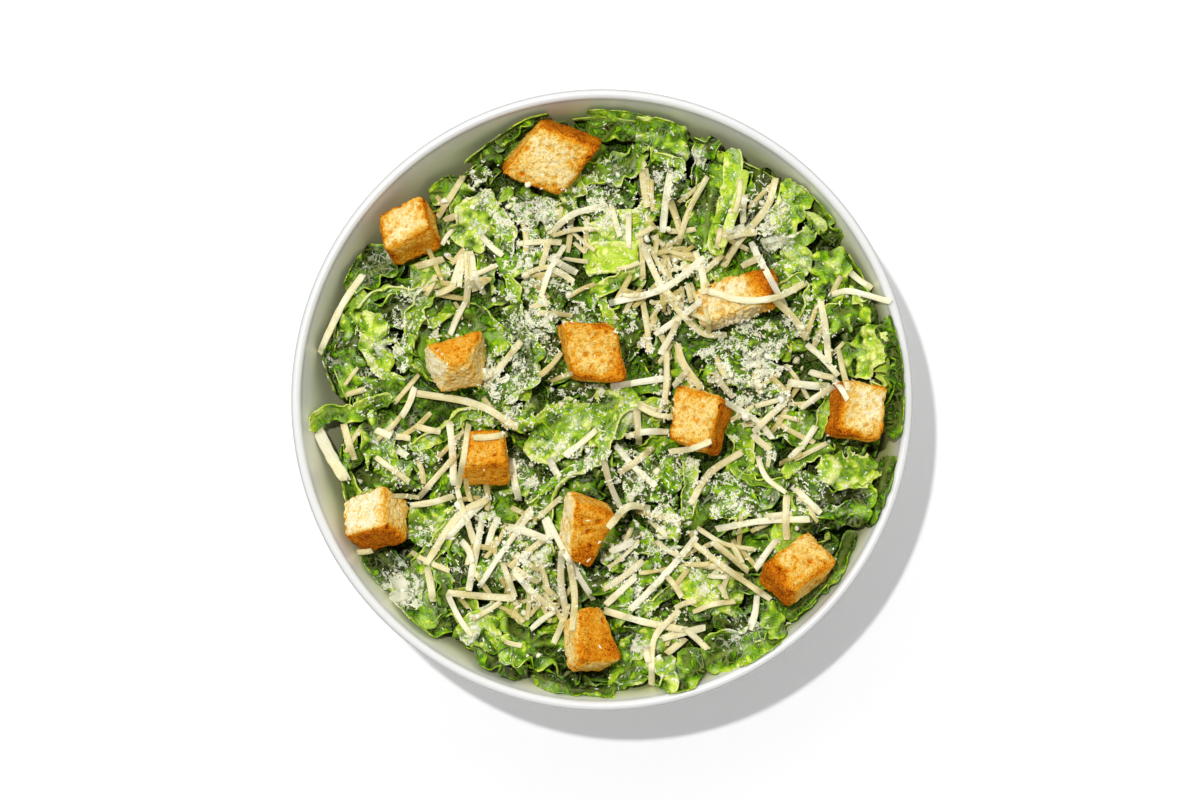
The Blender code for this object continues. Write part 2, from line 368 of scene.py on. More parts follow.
def bowlProfile():
    inside = np.stack(innerWall(np.linspace(1, 0, bowl["wallSteps"])), 1)
    lip = bowl["lipWidth"] / 2
    turn = np.linspace(math.pi, 0, bowl["lipSteps"])[1:-1, None]
    middle = np.array([bowl["rimRadius"] - lip, bowl["height"] - lip])
    over = middle + lip * np.hstack([np.cos(turn), np.sin(turn)])
    shares = np.linspace(0, 1, 2000)
    last = shares[np.argmax(outerWall(shares)[0] < bowl["footRadius"])]
    outside = np.stack(outerWall(np.linspace(0, last, bowl["wallSteps"])), 1)
    foot, edge = bowl["footRadius"] - bowl["footWidth"], bowl["footEdge"]
    quarter = np.linspace(0, math.pi / 2, 5)[:, None]
    outerEase = np.array([bowl["footRadius"] - edge, edge]) + edge * np.hstack([np.cos(quarter), -np.sin(quarter)])
    innerEase = np.array([foot + edge, edge]) + edge * np.hstack([-np.sin(quarter), -np.cos(quarter)])
    under = np.array([[foot - edge, bowl["footHeight"]], [foot * 0.5, bowl["footHeight"]], [0, bowl["footHeight"]]])
    return np.vstack([inside, over, outside, outerEase, innerEase, under])


def makeGlaze():
    material, tree, shader = newMaterial("white_glaze")
    place = objectPlace(tree)
    cloud = put(tree, "ShaderNodeTexNoise", {"Vector": place, "Scale": 22.0, "Detail": 3.0}).outputs["Fac"]
    speck = put(tree, "ShaderNodeTexNoise", {"Vector": place, "Scale": 900.0, "Detail": 1.0}).outputs["Fac"]
    # the inner wall turns olive towards the food: partly a film of dressing, partly painted shade with painted green
    # bounce light
    oilAndShade = calc(tree, "ADD", readValue(tree, "oilAndShade"), calc(tree, "MULTIPLY", calc(tree, "SUBTRACT", cloud, 0.5), 0.15))
    oilAndShade = calc(tree, "MULTIPLY", oilAndShade, calc(tree, "GREATER_THAN", readValue(tree, "oilAndShade"), 0.001))
    base = mixPaint(tree, calc(tree, "MULTIPLY", cloud, 0.3), rampNode(tree, oilAndShade, bowl["oiledShade"]), paint(224, 224, 220))
    base = mixPaint(tree, calc(tree, "MULTIPLY", easeNode(tree, speck, 0.74, 0.8), 0.25), base, paint(205, 204, 198))
    base = mixPaint(tree, readValue(tree, "wornAndLipShade"), base, bowl["lipEdgeShade"])  # painted shade: the outer edge of the lip is greyer
    tree.links.new(base, shader.inputs["Base Color"])
    tree.links.new(calc(tree, "MULTIPLY_ADD", cloud, 0.12, bowl["roughness"] - 0.06), shader.inputs["Roughness"])
    bump = put(tree, "ShaderNodeBump", {"Strength": 0.06, "Distance": 0.0006, "Height": cloud})
    tree.links.new(bump.outputs["Normal"], shader.inputs["Normal"])
    shader.inputs["Coat Weight"].default_value = 0.25
    shader.inputs["Coat Roughness"].default_value = 0.18
    return material


def makeBowl():
    profile = bowlProfile()
    turn = np.linspace(0, 2 * math.pi, bowl["turned"], endpoint=False)
    radius, height = profile[:, :1], profile[:, 1:]
    points = np.stack([radius * np.cos(turn), radius * np.sin(turn), height + 0 * turn], -1)
    faces = gridFaces(len(profile), bowl["turned"], closed=True)
    clean = bowl["rimRadius"] - bowl["lipWidth"]
    # how far down the inner wall towards the food, for the olive tint that is partly dressing film and partly painted
    # shade
    oilAndShade = np.clip((clean - radius) / (clean - reachAt(points[..., 0], points[..., 1]) + 3), 0, 1)
    oilAndShade[bowl["wallSteps"]:] = 0
    # greyer on the outer edge of the lip: painted shade
    wornAndLipShade = easeIn(radius, bowl["rimRadius"] - 0.7, bowl["rimRadius"] - 0.15) * easeIn(height, bowl["height"] - 3.2, bowl["height"] - 1.8) + 0 * turn
    piece = makePiece("serving_bowl", points.reshape(-1, 3), faces[:, ::-1], dict(oilAndShade=oilAndShade.ravel(), wornAndLipShade=wornAndLipShade.ravel()), makeGlaze(), "bowl_glaze", ["bowl"])
    shape = bmesh.new()
    shape.from_mesh(piece.data)
    bmesh.ops.remove_doubles(shape, verts=shape.verts, dist=0.00001)
    bmesh.ops.recalc_face_normals(shape, faces=shape.faces)
    shape.to_mesh(piece.data)
    shape.free()
    piece.data.shade_smooth()
    return piece


makeBowl()
print("bowl turned")


# the heap that everything lies on

heap = dict(crown=61, bareWall=0.105, bareSwing=0.070, bareSide=math.radians(155), bareRagged=0.035, lobes=1.7,
            flatness=2.6, overhang=0.45, coreInset=7, coreDepth=12, coreLump=3.2, coreLumpSize=9, crease=1.2, creaseSize=3.5,
            mapReach=105, mapCell=1.5)

sweep = np.radians(np.arange(-180, 181))
raggedness = [noise.noise(Vector((math.cos(a), math.sin(a), 0.3)) * heap["lobes"]) for a in sweep]
bareShares = np.maximum(0.015, heap["bareWall"] + heap["bareSwing"] * np.cos(sweep - heap["bareSide"])
                        + heap["bareRagged"] * np.array(raggedness))


def heapHeight(x, y):
    # the top of the leaves without its folds
    share = np.interp(np.arctan2(y, x), sweep, bareShares)
    edgeRadius, edgeHeight = innerWall(share)
    edgeHeight = edgeHeight + heap["overhang"] * (heap["crown"] - edgeHeight)  # the outer leaves stand clear of the wall
    out = np.minimum(1, np.hypot(x, y) / edgeRadius)
    return edgeHeight + (heap["crown"] - edgeHeight) * (1 - out ** heap["flatness"])


def coreHeight(x, y):
    lump = heap["coreLump"] * softNoise(x / heap["coreLumpSize"], y / heap["coreLumpSize"], seed=3)
    crease = heap["crease"] * softNoise(x / heap["creaseSize"], y / heap["creaseSize"], seed=4)
    return heapHeight(x, y) - heap["coreDepth"] + lump + crease


class HeightMap:
    # the highest thing so far over a square grid, in millimetres
    def __init__(self, reach, cell):
        self.reach, self.cell = reach, cell
        self.count = int(round(2 * reach / cell)) + 1
        line = np.linspace(-reach, reach, self.count)
        self.x, self.y = np.meshgrid(line, line, indexing="ij")
        self.top = np.zeros(self.x.shape)

    def index(self, x, y):
        i = np.clip(np.rint((x + self.reach) / self.cell).astype(int), 0, self.count - 1)
        j = np.clip(np.rint((y + self.reach) / self.cell).astype(int), 0, self.count - 1)
        return i, j

    def at(self, x, y):
        return self.top[self.index(x, y)]

    def soft(self, rounds):
        top = self.top.copy()
        for _ in range(rounds):
            for axis in (0, 1):
                top = (np.roll(top, 1, axis) + 2 * top + np.roll(top, -1, axis)) / 4
        return top

    def raiseTo(self, x, y, z):
        np.maximum.at(self.top, self.index(x, y), z)


pile = HeightMap(heap["mapReach"], heap["mapCell"])
onCore = np.hypot(pile.x, pile.y) < reachAt(pile.x, pile.y) - heap["coreInset"]
pile.top = np.maximum(np.where(onCore, coreHeight(pile.x, pile.y), 0), wallHeightAt(np.hypot(pile.x, pile.y)) + 0.3)


# the croutons' blocks: where each stands, and how toasted each side is

croutonShape = dict(voxel=0.48, wornAndLipShade=11, bubbles=6, pore=1.05, poreDepth=0.36, crumb=0.8, crumbDepth=0.36, lump=5.0, lumpDepth=0.6, chip=1.6,
                    chipDepth=1.0, edgeReach=0.48, ceiling=2.2)

# spin, tip and roll in degrees; right, left, back, front, top are toast from 0 pale to 1 dark; edge is extra along edges
croutons = {
    1: dict(spin=-20, tip=13, roll=2, right=0.55, left=0.62, back=0.72, front=0.66, top=0.27, edge=0.38, baked=(50, 0.35)),
    2: dict(spin=24, tip=-30, roll=-3, right=0.62, left=0.55, back=0.66, front=0.52, top=0.24, edge=0.42, baked=(-65, 0.2)),
    3: dict(spin=14, tip=-30, roll=4, right=0.40, left=0.06, back=0.60, front=0.34, top=0.64, edge=0.10),
    4: dict(spin=-3, tip=-3, roll=6, right=0.70, left=0.62, back=0.60, front=0.70, top=0.45, edge=0.34),
    5: dict(spin=19, tip=-14, roll=-9, right=0.55, left=0.25, back=0.40, front=0.15, top=0.20, edge=0.06, rough=2.4, baked=(35, 0.5)),
    6: dict(spin=-17, tip=-4, roll=-18, right=0.74, left=0.60, back=0.40, front=0.62, top=0.36, edge=0.26, baked=(-25, 0.2)),
    7: dict(spin=-9, tip=-6, roll=16, right=0.45, left=0.72, back=0.45, front=0.64, top=0.20, edge=0.30, baked=(190, 0.25)),
    8: dict(spin=2, tip=-28, roll=0, right=0.66, left=0.66, back=0.70, front=0.74, top=0.60, edge=0.14),
    9: dict(spin=18, tip=-34, roll=-31, right=0.34, left=0.55, back=0.45, front=0.72, top=0.04, edge=0.16, baked=(-85, 0.45)),
    10: dict(spin=-21, tip=11, roll=18, right=0.62, left=0.20, back=0.60, front=0.60, top=0.58, edge=0.10, baked=(-60, 0.2)),
    11: dict(spin=36, tip=-15, roll=27, right=0.50, left=0.84, back=0.55, front=0.46, top=0.40, edge=0.26, baked=(-145, 0.4)),
    12: dict(spin=4, tip=-18, roll=33, right=0.60, left=0.40, back=0.55, front=0.50, top=0.66, edge=0.0, baked=(-20, 0.12)),
}


def croutonTurn(spec):
    return np.array(Euler([math.radians(spec[label]) for label in ("tip", "roll", "spin")], "XYZ").to_matrix())


def blockSurface(number):
    # the plain block's surface as an even net of points and faces, in millimetres
    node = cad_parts[f"crouton_{number:02d}"]
    shape = bmesh.new()
    shape.from_mesh(node.data)
    bmesh.ops.remove_doubles(shape, verts=shape.verts, dist=0.00002)
    mesh = bpy.data.meshes.new("block")
    shape.to_mesh(mesh)
    shape.free()
    block = bpy.data.objects.new("block", mesh)
    scene.collection.objects.link(block)
    remesh = block.modifiers.new("even", "REMESH")
    remesh.mode = "VOXEL"
    remesh.voxel_size = croutonShape["voxel"] * mm
    ease = block.modifiers.new("wornAndLipShade", "SMOOTH")
    ease.factor, ease.iterations = 0.8, croutonShape["wornAndLipShade"]
    graph = bpy.context.evaluated_depsgraph_get()
    evaluated = block.evaluated_get(graph)
    result = evaluated.to_mesh()
    points = np.empty(len(result.vertices) * 3)
    result.vertices.foreach_get("co", points)
    normals = np.empty(len(result.vertices) * 3)
    result.vertices.foreach_get("normal", normals)
    faces = np.array([list(face.vertices) for face in result.polygons])
    evaluated.to_mesh_clear()
    bpy.data.objects.remove(block)
    bpy.data.meshes.remove(mesh)
    return points.reshape(-1, 3) / mm, normals.reshape(-1, 3), faces


def ceilingMap():
    # the tops of the croutons, which no leaf may come up through
    top = np.full(pile.top.shape, 999.0)
    for number in croutons:
        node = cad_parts[f"crouton_{number:02d}"]
        points = [vertex.co / mm for vertex in node.data.vertices]
        tree = BVHTree.FromPolygons(points, [list(face.vertices) for face in node.data.polygons])
        low, high = (np.array(corner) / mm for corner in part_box(node.name))
        inside = (pile.x > low[0]) & (pile.x < high[0]) & (pile.y > low[1]) & (pile.y < high[1])
        for i, j in zip(*np.nonzero(inside)):
            hit = tree.ray_cast(Vector((pile.x[i, j], pile.y[i, j], 120)), Vector((0, 0, -1)))[0]
            if hit is not None:
                top[i, j] = min(top[i, j], hit.z - croutonShape["ceiling"])
    return top


ceiling = ceilingMap()


# leaves

leafFinish = dict(rough=0.38, veinPaint=paint(204, 230, 96), film=paint(250, 250, 226), dust=paint(252, 250, 226), wet=0.9, ridgeHeight=1.0,
                  ridgeHighlight=0.22, buried=(0.3, 4.5), buriedShade=0.44,
                  greens=[(0.0, paint(9, 20, 0)), (0.14, paint(22, 48, 0)), (0.30, paint(47, 96, 0)), (0.46, paint(90, 148, 0)),
                          (0.62, paint(139, 188, 8)), (0.78, paint(185, 215, 28)), (0.90, paint(216, 234, 76)), (1.0, paint(242, 248, 150))])


def makeLeafMaterial():
    material, tree, shader = newMaterial("romaine")
    leafPlace = readValue(tree, "leafPlace", "Vector")
    here = objectPlace(tree)
    labels = ("tone", "marginHighlight", "puff", "ribs", "ridge", "dressing", "snow")
    tone, marginHighlight, puff, ribs, ridge, dressing, snow = (readValue(tree, label) for label in labels)
    veins = useGroup(tree, fineVeins, {"Place": leafPlace, "Cell": 2.3})
    mottle = put(tree, "ShaderNodeTexNoise", {"Vector": leafPlace, "Scale": 0.22, "Detail": 6.0, "Roughness": 0.76}).outputs["Fac"]
    level = calc(tree, "MULTIPLY_ADD", calc(tree, "SUBTRACT", mottle, 0.42), 0.44, tone)
    # lighter along each leaf's edge: painted highlight
    level = calc(tree, "MULTIPLY_ADD", marginHighlight, 0.10, level)
    # lighter on broad ridges and blister tops, darker in folds and blister valleys: painted light and shade
    level = calc(tree, "MULTIPLY_ADD", ridge, 0.30, level)
    level = calc(tree, "MULTIPLY_ADD", calc(tree, "SUBTRACT", puff, 0.64), 0.32, level)
    level = calc(tree, "MULTIPLY_ADD", calc(tree, "SUBTRACT", veins["Puff"], 0.8), 0.36, level)
    colour = rampNode(tree, level, leafFinish["greens"])
    veinShare = calc(tree, "MAXIMUM", calc(tree, "MULTIPLY", veins["Vein"], 0.46), calc(tree, "MULTIPLY", ribs, 0.6))
    veinShare = calc(tree, "MULTIPLY", veinShare, calc(tree, "MULTIPLY_ADD", tone, 0.8, 0.24), clamp=True)
    colour = mixPaint(tree, veinShare, colour, leafFinish["veinPaint"])
    # thin dressing gathers along the veins, thick dressing lies in smears and drops, and the drops are partly painted
    # glints
    patch = put(tree, "ShaderNodeTexNoise", {"Vector": here, "Scale": 170.0, "Detail": 2.0}).outputs["Fac"]
    milk = calc(tree, "MULTIPLY", easeNode(tree, patch, 0.44, 0.60), calc(tree, "MULTIPLY_ADD", dressing, 0.9, 0.03))
    milk = calc(tree, "MULTIPLY", milk, veins["Vein"], clamp=True)
    colour = mixPaint(tree, milk, colour, leafFinish["film"])
    film = useGroup(tree, dressingAndGlints, {"Place": here, "Amount": dressing})
    colour = mixPaint(tree, calc(tree, "MULTIPLY", film["Mask"], 0.88), colour, leafFinish["film"])
    dust = useGroup(tree, cheeseDust, {"Place": here, "Amount": snow})
    colour = mixPaint(tree, dust["Mask"], colour, leafFinish["dust"])
    tree.links.new(colour, shader.inputs["Base Color"])
    rough = calc(tree, "MULTIPLY_ADD", calc(tree, "SUBTRACT", mottle, 0.5), 0.25, leafFinish["rough"])
    rough = calc(tree, "MULTIPLY_ADD", dust["Mask"], 0.35, rough, clamp=True)
    tree.links.new(rough, shader.inputs["Roughness"])
    height = calc(tree, "ADD", calc(tree, "MULTIPLY", veins["Puff"], 0.55), calc(tree, "MULTIPLY", film["Height"], 0.3))
    height = calc(tree, "MULTIPLY_ADD", dust["Height"], 0.7, height)
    height = calc(tree, "MULTIPLY_ADD", mottle, 0.8, height)
    bump = put(tree, "ShaderNodeBump", {"Strength": 0.9, "Distance": 0.0007, "Height": height})
    tree.links.new(bump.outputs["Normal"], shader.inputs["Normal"])
    wet = put(tree, "ShaderNodeTexNoise", {"Vector": here, "Scale": 300.0, "Detail": 2.0}).outputs["Fac"]
    shine = calc(tree, "MULTIPLY", easeNode(tree, wet, 0.57, 0.63), calc(tree, "MULTIPLY", tone, leafFinish["wet"] * 2, clamp=True), clamp=True)
    tree.links.new(shine, shader.inputs["Coat Weight"])
    shader.inputs["Coat Roughness"].default_value = 0.2
    shader.inputs["Specular IOR Level"].default_value = 0.04
    return material


# blister and ruffle are heights, cell and wave spacings, reach how far in a ruffle fades;
# cup bends the sides up and sag down, rag is how torn the outline is, square how blunt its ends
leafKinds = {
    "smooth": dict(blister=0.55, cell=4.4, ruffle=1.5, wave=12, reach=4.5, cup=0.35, rag=0.12, square=0.35, thick=0.35),
    "puffy": dict(blister=1.25, cell=4.0, ruffle=1.9, wave=9, reach=3.5, cup=-0.20, rag=0.18, square=0.25, thick=0.35),
    "frilly": dict(blister=0.9, cell=3.8, ruffle=2.5, wave=9, reach=4.5, cup=0.45, rag=0.20, square=0.30, thick=0.35),
    "strap": dict(blister=0.5, cell=4.0, ruffle=0.7, wave=11, reach=2.6, cup=1.0, rag=0.12, square=0.55, thick=0.4),
    "pocket": dict(blister=0.5, cell=4.2, ruffle=1.4, wave=9, reach=3.5, cup=1.35, rag=0.12, square=0.25, thick=0.35),
    "rib": dict(blister=0.16, cell=6.0, ruffle=0.2, wave=14, reach=3, cup=-0.35, rag=0.05, square=0.75, thick=2.2),
}

leafNet = dict(fine=0.56, middle=0.9, coarse=1.5, sideVein=5.5, sideSlant=0.75, marginReach=1.1)

snowSpots = [(-17, 29, 11, 1.0), (-33, 10, 8, 0.8), (-25, 45, 7, 0.8), (21, 44, 7, 0.8), (50, 12, 15, 0.95),
             (36, 16, 8, 0.9), (10, 22, 7, 0.9), (51, 60, 6, 0.7), (20, 70, 6, 0.6), (-10, -22, 8, 0.8),
             (10, -26, 12, 0.75), (-24, -22, 7, 0.7), (18, -42, 11, 0.9), (-26, -50, 10, 0.6), (-35, -38, 9, 0.6),
             (35, -51, 5, 0.4), (55, -16, 7, 0.7), (64, 25, 7, 0.7), (66, 14, 7, 0.5), (-38, 69, 5, 0.6),
             (-28, 58, 8, 0.7), (-30, -5, 8, 0.6), (3, -50, 9, 0.5), (-48, 20, 7, 0.35),
             (40, -34, 10, 0.4), (22, 28, 9, 0.6), (0, 8, 9, 0.5), (-60, -22, 7, 0.3), (26, -4, 8, 0.4)]


def snowAt(x, y):
    # how much grated cheese lies here, from 0 to 1
    total = 0.30 * easeIn(-np.hypot(x, y), -84, -60) * easeIn(softNoise(x / 11, y / 11, seed=22), -0.2, 0.5)
    for spotX, spotY, radius, strength in snowSpots:
        away = ((x - spotX) ** 2 + (y - spotY) ** 2) / radius**2
        total = np.maximum(total, strength * np.exp(-away))
    patchy = 0.75 + 0.5 * softNoise(x / 5, y / 5, seed=21)
    return np.clip(total * patchy, 0, 1)


# where dressing lies thickest on the leaves: x, y, reach and share
dressingSpots = [(-65, -60, 8, 1.0), (-42, 54, 6, 0.3), (-38, 64, 4, 0.6), (-24, 60, 6, 0.6), (-61, 31, 5, 0.5), (-70, 16, 5, 0.4),
                 (-70, -12, 5, 0.6), (30, 78, 4, 0.7), (58, 51, 6, 0.7), (62, 65, 5, 0.4), (4, 72, 5, 0.3), (86, 17, 5, 0.3),
                 (5, 52, 5, 0.35), (-10, -9, 6, 0.35), (-41, -72, 6, 0.4), (-30, -84, 3, 0.4), (33, -60, 3.5, 0.55), (78, -26, 4, 0.4),
                 (45, -73, 7, 0.45), (12, -81, 6, 0.7), (22, -88, 3, 0.4), (4, -51, 5, 0.4), (75, -33, 6, 0.3), (10, -5, 7, 0.4)]


def dressingAt(x, y):
    total = np.zeros(np.shape(x))
    for spotX, spotY, radius, strength in dressingSpots:
        total = np.maximum(total, strength * np.exp(-((x - spotX) ** 2 + (y - spotY) ** 2) / radius**2))
    return total


def crossCurve(kind, roll):
    # where a point across the leaf goes, sideways and up, on the bent section
    t = np.linspace(-1.7, 1.7, 171)
    angle = kind["cup"] * t + kind.get("curlRight", 0) * np.maximum(t - 0.35, 0) - kind.get("curlLeft", 0) * np.maximum(-t - 0.35, 0)
    step = t[1] - t[0]
    side = np.concatenate([[0], np.cumsum((np.cos(angle[1:]) + np.cos(angle[:-1])) / 2 * step)])
    up = np.concatenate([[0], np.cumsum((np.sin(angle[1:]) + np.sin(angle[:-1])) / 2 * step)])
    middle = len(t) // 2
    side, up = side - side[middle], up - up[middle]
    turn = math.radians(roll)
    return t, side * math.cos(turn) - up * math.sin(turn), side * math.sin(turn) + up * math.cos(turn)


def shapeLeaf(kind, width, roll, spine, seed, spacing):
    # a sheet along its spine: grid points, relief and the values its finish reads
    path, length = smoothPath(spine, 60)
    columns = max(6, int(round(length / spacing / 2)) * 2)
    rows = max(6, int(round(width / spacing / 2)) * 2)
    u, v = np.meshgrid(np.linspace(-1, 1, columns + 1), np.linspace(-1, 1, rows + 1), indexing="ij")
    bend = 1 - kind["square"]
    x = u * np.sqrt(1 - bend * v**2 / 2)
    y = v * np.sqrt(1 - bend * u**2 / 2)
    rim = np.maximum(np.abs(u), np.abs(v))
    around = np.arctan2(y * width, x * length)
    lobes = (length + width) / 2 / 9
    torn = softNoise(np.cos(around) * lobes, np.sin(around) * lobes, seed * 3.7, seed=seed)
    teeth = softNoise(np.cos(around) * lobes * 3.2, np.sin(around) * lobes * 3.2, 5.1, seed=seed)
    scale = 1 + rim**3 * (kind["rag"] * 1.2 * torn + kind["rag"] * 0.22 * teeth)
    along, across = x * length / 2 * scale, y * width / 2 * scale
    edge = (1 - rim) * min(length, width) / 2
    share = along / length + 0.5
    walked = np.linspace(0, 1, len(path))
    inside = np.clip(share, 0, 1)
    middle = np.stack([np.interp(inside, walked, path[:, axis]) for axis in range(3)], -1)
    heading = np.gradient(path[:, :2], axis=0)
    heading /= np.maximum(np.linalg.norm(heading, axis=1, keepdims=True), 1e-6)
    heading = np.stack([np.interp(inside, walked, heading[:, axis]) for axis in (0, 1)], -1)
    middle[..., :2] += heading * ((share - inside) * length)[..., None]
    t, sideTable, upTable = crossCurve(kind, roll)
    sideways = np.interp(across / (width / 2), t, sideTable) * width / 2
    upward = np.interp(across / (width / 2), t, upTable) * width / 2
    points = middle.copy()
    points[..., 0] -= heading[..., 1] * sideways
    points[..., 1] += heading[..., 0] * sideways
    points[..., 2] += upward
    points[..., 2] += kind.get("wander", 2.2) * softNoise(points[..., 0] / 8, points[..., 1] / 8, 2.2, seed=seed + 5)
    # relief along the sheet's own normals
    du, dv = np.gradient(points, axis=0), np.gradient(points, axis=1)
    normals = np.cross(du, dv)
    normals /= np.maximum(np.linalg.norm(normals, axis=-1, keepdims=True), 1e-9)
    wobbleA = along + 1.2 * softNoise(along / 5, across / 5, seed=seed + 1)
    wobbleB = across + 1.2 * softNoise(along / 5, across / 5, 9.0, seed=seed + 2)
    near, second = cellPattern(wobbleA / kind["cell"] / 1.25, wobbleB / kind["cell"], seed)
    border = (second - near) * kind["cell"]
    puff = np.sqrt(np.clip(border / (0.62 * kind["cell"]), 0, 1))
    nearSmall, secondSmall = cellPattern(wobbleA / kind["cell"] * 2.1, wobbleB / kind["cell"] * 2.1, seed + 9)
    small = np.sqrt(np.clip((secondSmall - nearSmall) / 0.7, 0, 1))
    ribAt = kind.get("ribAt", 0.15 * math.sin(seed * 1.7)) * width
    offRib = across - ribAt
    ribWidth = kind.get("ribWidth", 0.9) * (1.25 - 0.6 * inside)
    mainRib = np.exp(-(offRib / ribWidth) ** 2)
    slanted = (along + np.abs(offRib) * leafNet["sideSlant"] + 1.5 * softNoise(along / 8, across / 8, 4.0, seed=seed)) / leafNet["sideVein"]
    fromVein = np.abs(slanted - np.rint(slanted)) * leafNet["sideVein"]
    sideVein = np.exp(-(fromVein / 0.5) ** 2)
    fade = easeIn(edge, 0, 1.5)
    relief = kind["blister"] * ((puff - 0.6) + 0.42 * (small - 0.5)) * (0.45 + 0.55 * fade)
    relief -= 0.35 * kind["blister"] * (sideVein + np.cos(2 * math.pi * slanted) * fade) + 0.3 * mainRib * (kind["thick"] < 1)
    arc = around * (length + width) / 4
    wave = np.sin(arc / kind["wave"] * 2 * math.pi + 2.5 * softNoise(along / 7, across / 7, 1.0, seed=seed + 3) + seed)
    frill = np.sin(arc / kind["wave"] * 5.3 + 3 * softNoise(along / 4, across / 4, 6.0, seed=seed + 4))
    ruffle = kind["ruffle"] * np.exp(-edge / kind["reach"]) * (wave + 0.4 * frill)
    points += normals * (relief + ruffle)[..., None]
    values = dict(leafPlace=np.stack([along + seed * 61.0, across + seed * 37.0, 0 * along], -1),
                  marginHighlight=np.exp(-edge / leafNet["marginReach"]), puff=0.75 * puff + 0.25 * small,
                  ribs=np.maximum(mainRib * 1.0, sideVein * 0.75))
    return points, values


def thicken(points, values, thick):
    # closes the sheet: a fine top, an underside half as fine, and the edge between them
    columns, rows = points.shape[:2]
    du, dv = np.gradient(points, axis=0), np.gradient(points, axis=1)
    normals = np.cross(du, dv)
    normals /= np.maximum(np.linalg.norm(normals, axis=-1, keepdims=True), 1e-9)
    thin = np.ones((columns, rows)) * thick
    if thick > 1:
        thin[[0, -1]] *= 0.55
        thin[:, [0, -1]] *= 0.55
    under = (points - normals * thin[..., None])[::2, ::2]
    count = columns * rows
    top = np.arange(count).reshape(columns, rows)
    low = np.arange(under.shape[0] * under.shape[1]).reshape(under.shape[:2]) + count
    fine, coarse = ringOf(top), ringOf(low)
    first, between, last = fine[::2], fine[1::2], np.roll(fine, -2)[::2]
    after = np.roll(coarse, -1)
    side = np.vstack([np.stack(corners, 1) for corners in ((between, first, coarse), (between, coarse, after), (between, after, last))])
    faces = np.vstack([halve(gridFaces(columns, rows)), halve(gridFaces(*under.shape[:2]))[:, ::-1] + count, side])
    allPoints = np.vstack([points.reshape(-1, 3), under.reshape(-1, 3)])
    allValues = {}
    for label, numbers in values.items():
        shape = (-1,) + numbers.shape[2:]
        allValues[label] = np.concatenate([numbers.reshape(shape), numbers[::2, ::2].reshape(shape)])
    return allPoints, faces, allValues


def settleLeaf(points, lift, sink, follow, limit, inset):
    # lays the sheet on the pile, keeps it in the bowl and under the croutons, and adds it to the pile
    x, y, z = points[..., 0], points[..., 1], points[..., 2]
    soft = pile.soft(5)[pile.index(x, y)]
    z += follow * (soft - soft.mean())
    z += np.percentile(pile.at(x, y) - z, sink) + lift
    most = heapHeight(x, y) + limit
    z[:] = np.where(z > most, most + (z - most) * 0.3, z)
    radius = np.maximum(np.hypot(x, y), 1)
    furthest = reachAt(x, y) - inset
    squeeze = np.where(radius > furthest, (furthest + (radius - furthest) * 0.12) / radius, 1)
    x *= squeeze
    y *= squeeze
    z[:] = np.minimum(z, ceiling[pile.index(x, y)])
    z[:] = np.maximum(z, wallHeightAt(np.hypot(x, y)) + 0.5)
    pile.raiseTo(x, y, z)
    return points


def softened(height, rounds):
    for _ in range(rounds):
        for axis in (0, 1):
            padded = np.pad(height, [(1, 1) if axis == side else (0, 0) for side in (0, 1)], mode="edge")
            low, high = (padded[:-2], padded[2:]) if axis == 0 else (padded[:, :-2], padded[:, 2:])
            height = (low + 2 * height + high) / 4
    return height


def ridgeOf(height):
    # from -1 in a broad fold to 1 on a broad ridge
    return np.clip((softened(height, 3) - softened(height, 70)) / leafFinish["ridgeHeight"], -1, 1)


def addLeaf(kindName, tone, dressing, width, roll, spine, seed, spacing=None, lift=0.0, limit=4.0, inset=0.0, **changes):
    kind = dict(leafKinds[kindName], **changes)
    dice = np.random.default_rng(seed + 1000)
    kind["curlRight"], kind["curlLeft"] = np.maximum(0, dice.uniform(-1.2, 2.2, 2)) * kind.get("curl", 1.0)
    flat = np.array(spine, float).reshape(-1, 2)
    arch = kind.get("arch", 1.0) * np.sin(np.linspace(0, math.pi, len(flat)))
    rise = np.array(kind.get("rise", np.zeros(len(flat)))) + arch
    spine3 = np.column_stack([flat, rise])
    points, values = shapeLeaf(kind, width, roll, spine3, seed, spacing or leafNet["fine"])
    settleLeaf(points, lift, kind.get("sink", dice.uniform(72, 94)), kind.get("follow", 0.5), limit, inset)
    shape = points.shape[:2]
    x, y = points[..., 0], points[..., 1]
    patch = softNoise(x / 6, y / 6, seed * 0.37, seed=31)
    # the ridge value paints the leaf lighter on broad ridges and darker in folds: painted light and shade
    ridge = ridgeOf(points[..., 2])
    values["ridge"] = ridge
    values["tone"] = tone + 0.10 * softNoise(x / 8, y / 8, seed * 0.71, seed=32) + np.zeros(shape)
    wet = dressing * (0.5 + 0.9 * patch) + dressingAt(x, y)
    # white on the broad ridges: painted highlight, carried in the dressing value
    values["dressing"] = np.clip(wet + leafFinish["ridgeHighlight"] * np.maximum(ridge, 0) ** 2, 0, 1)
    values["snow"] = snowAt(x, y)
    return thicken(points, values, kind["thick"])


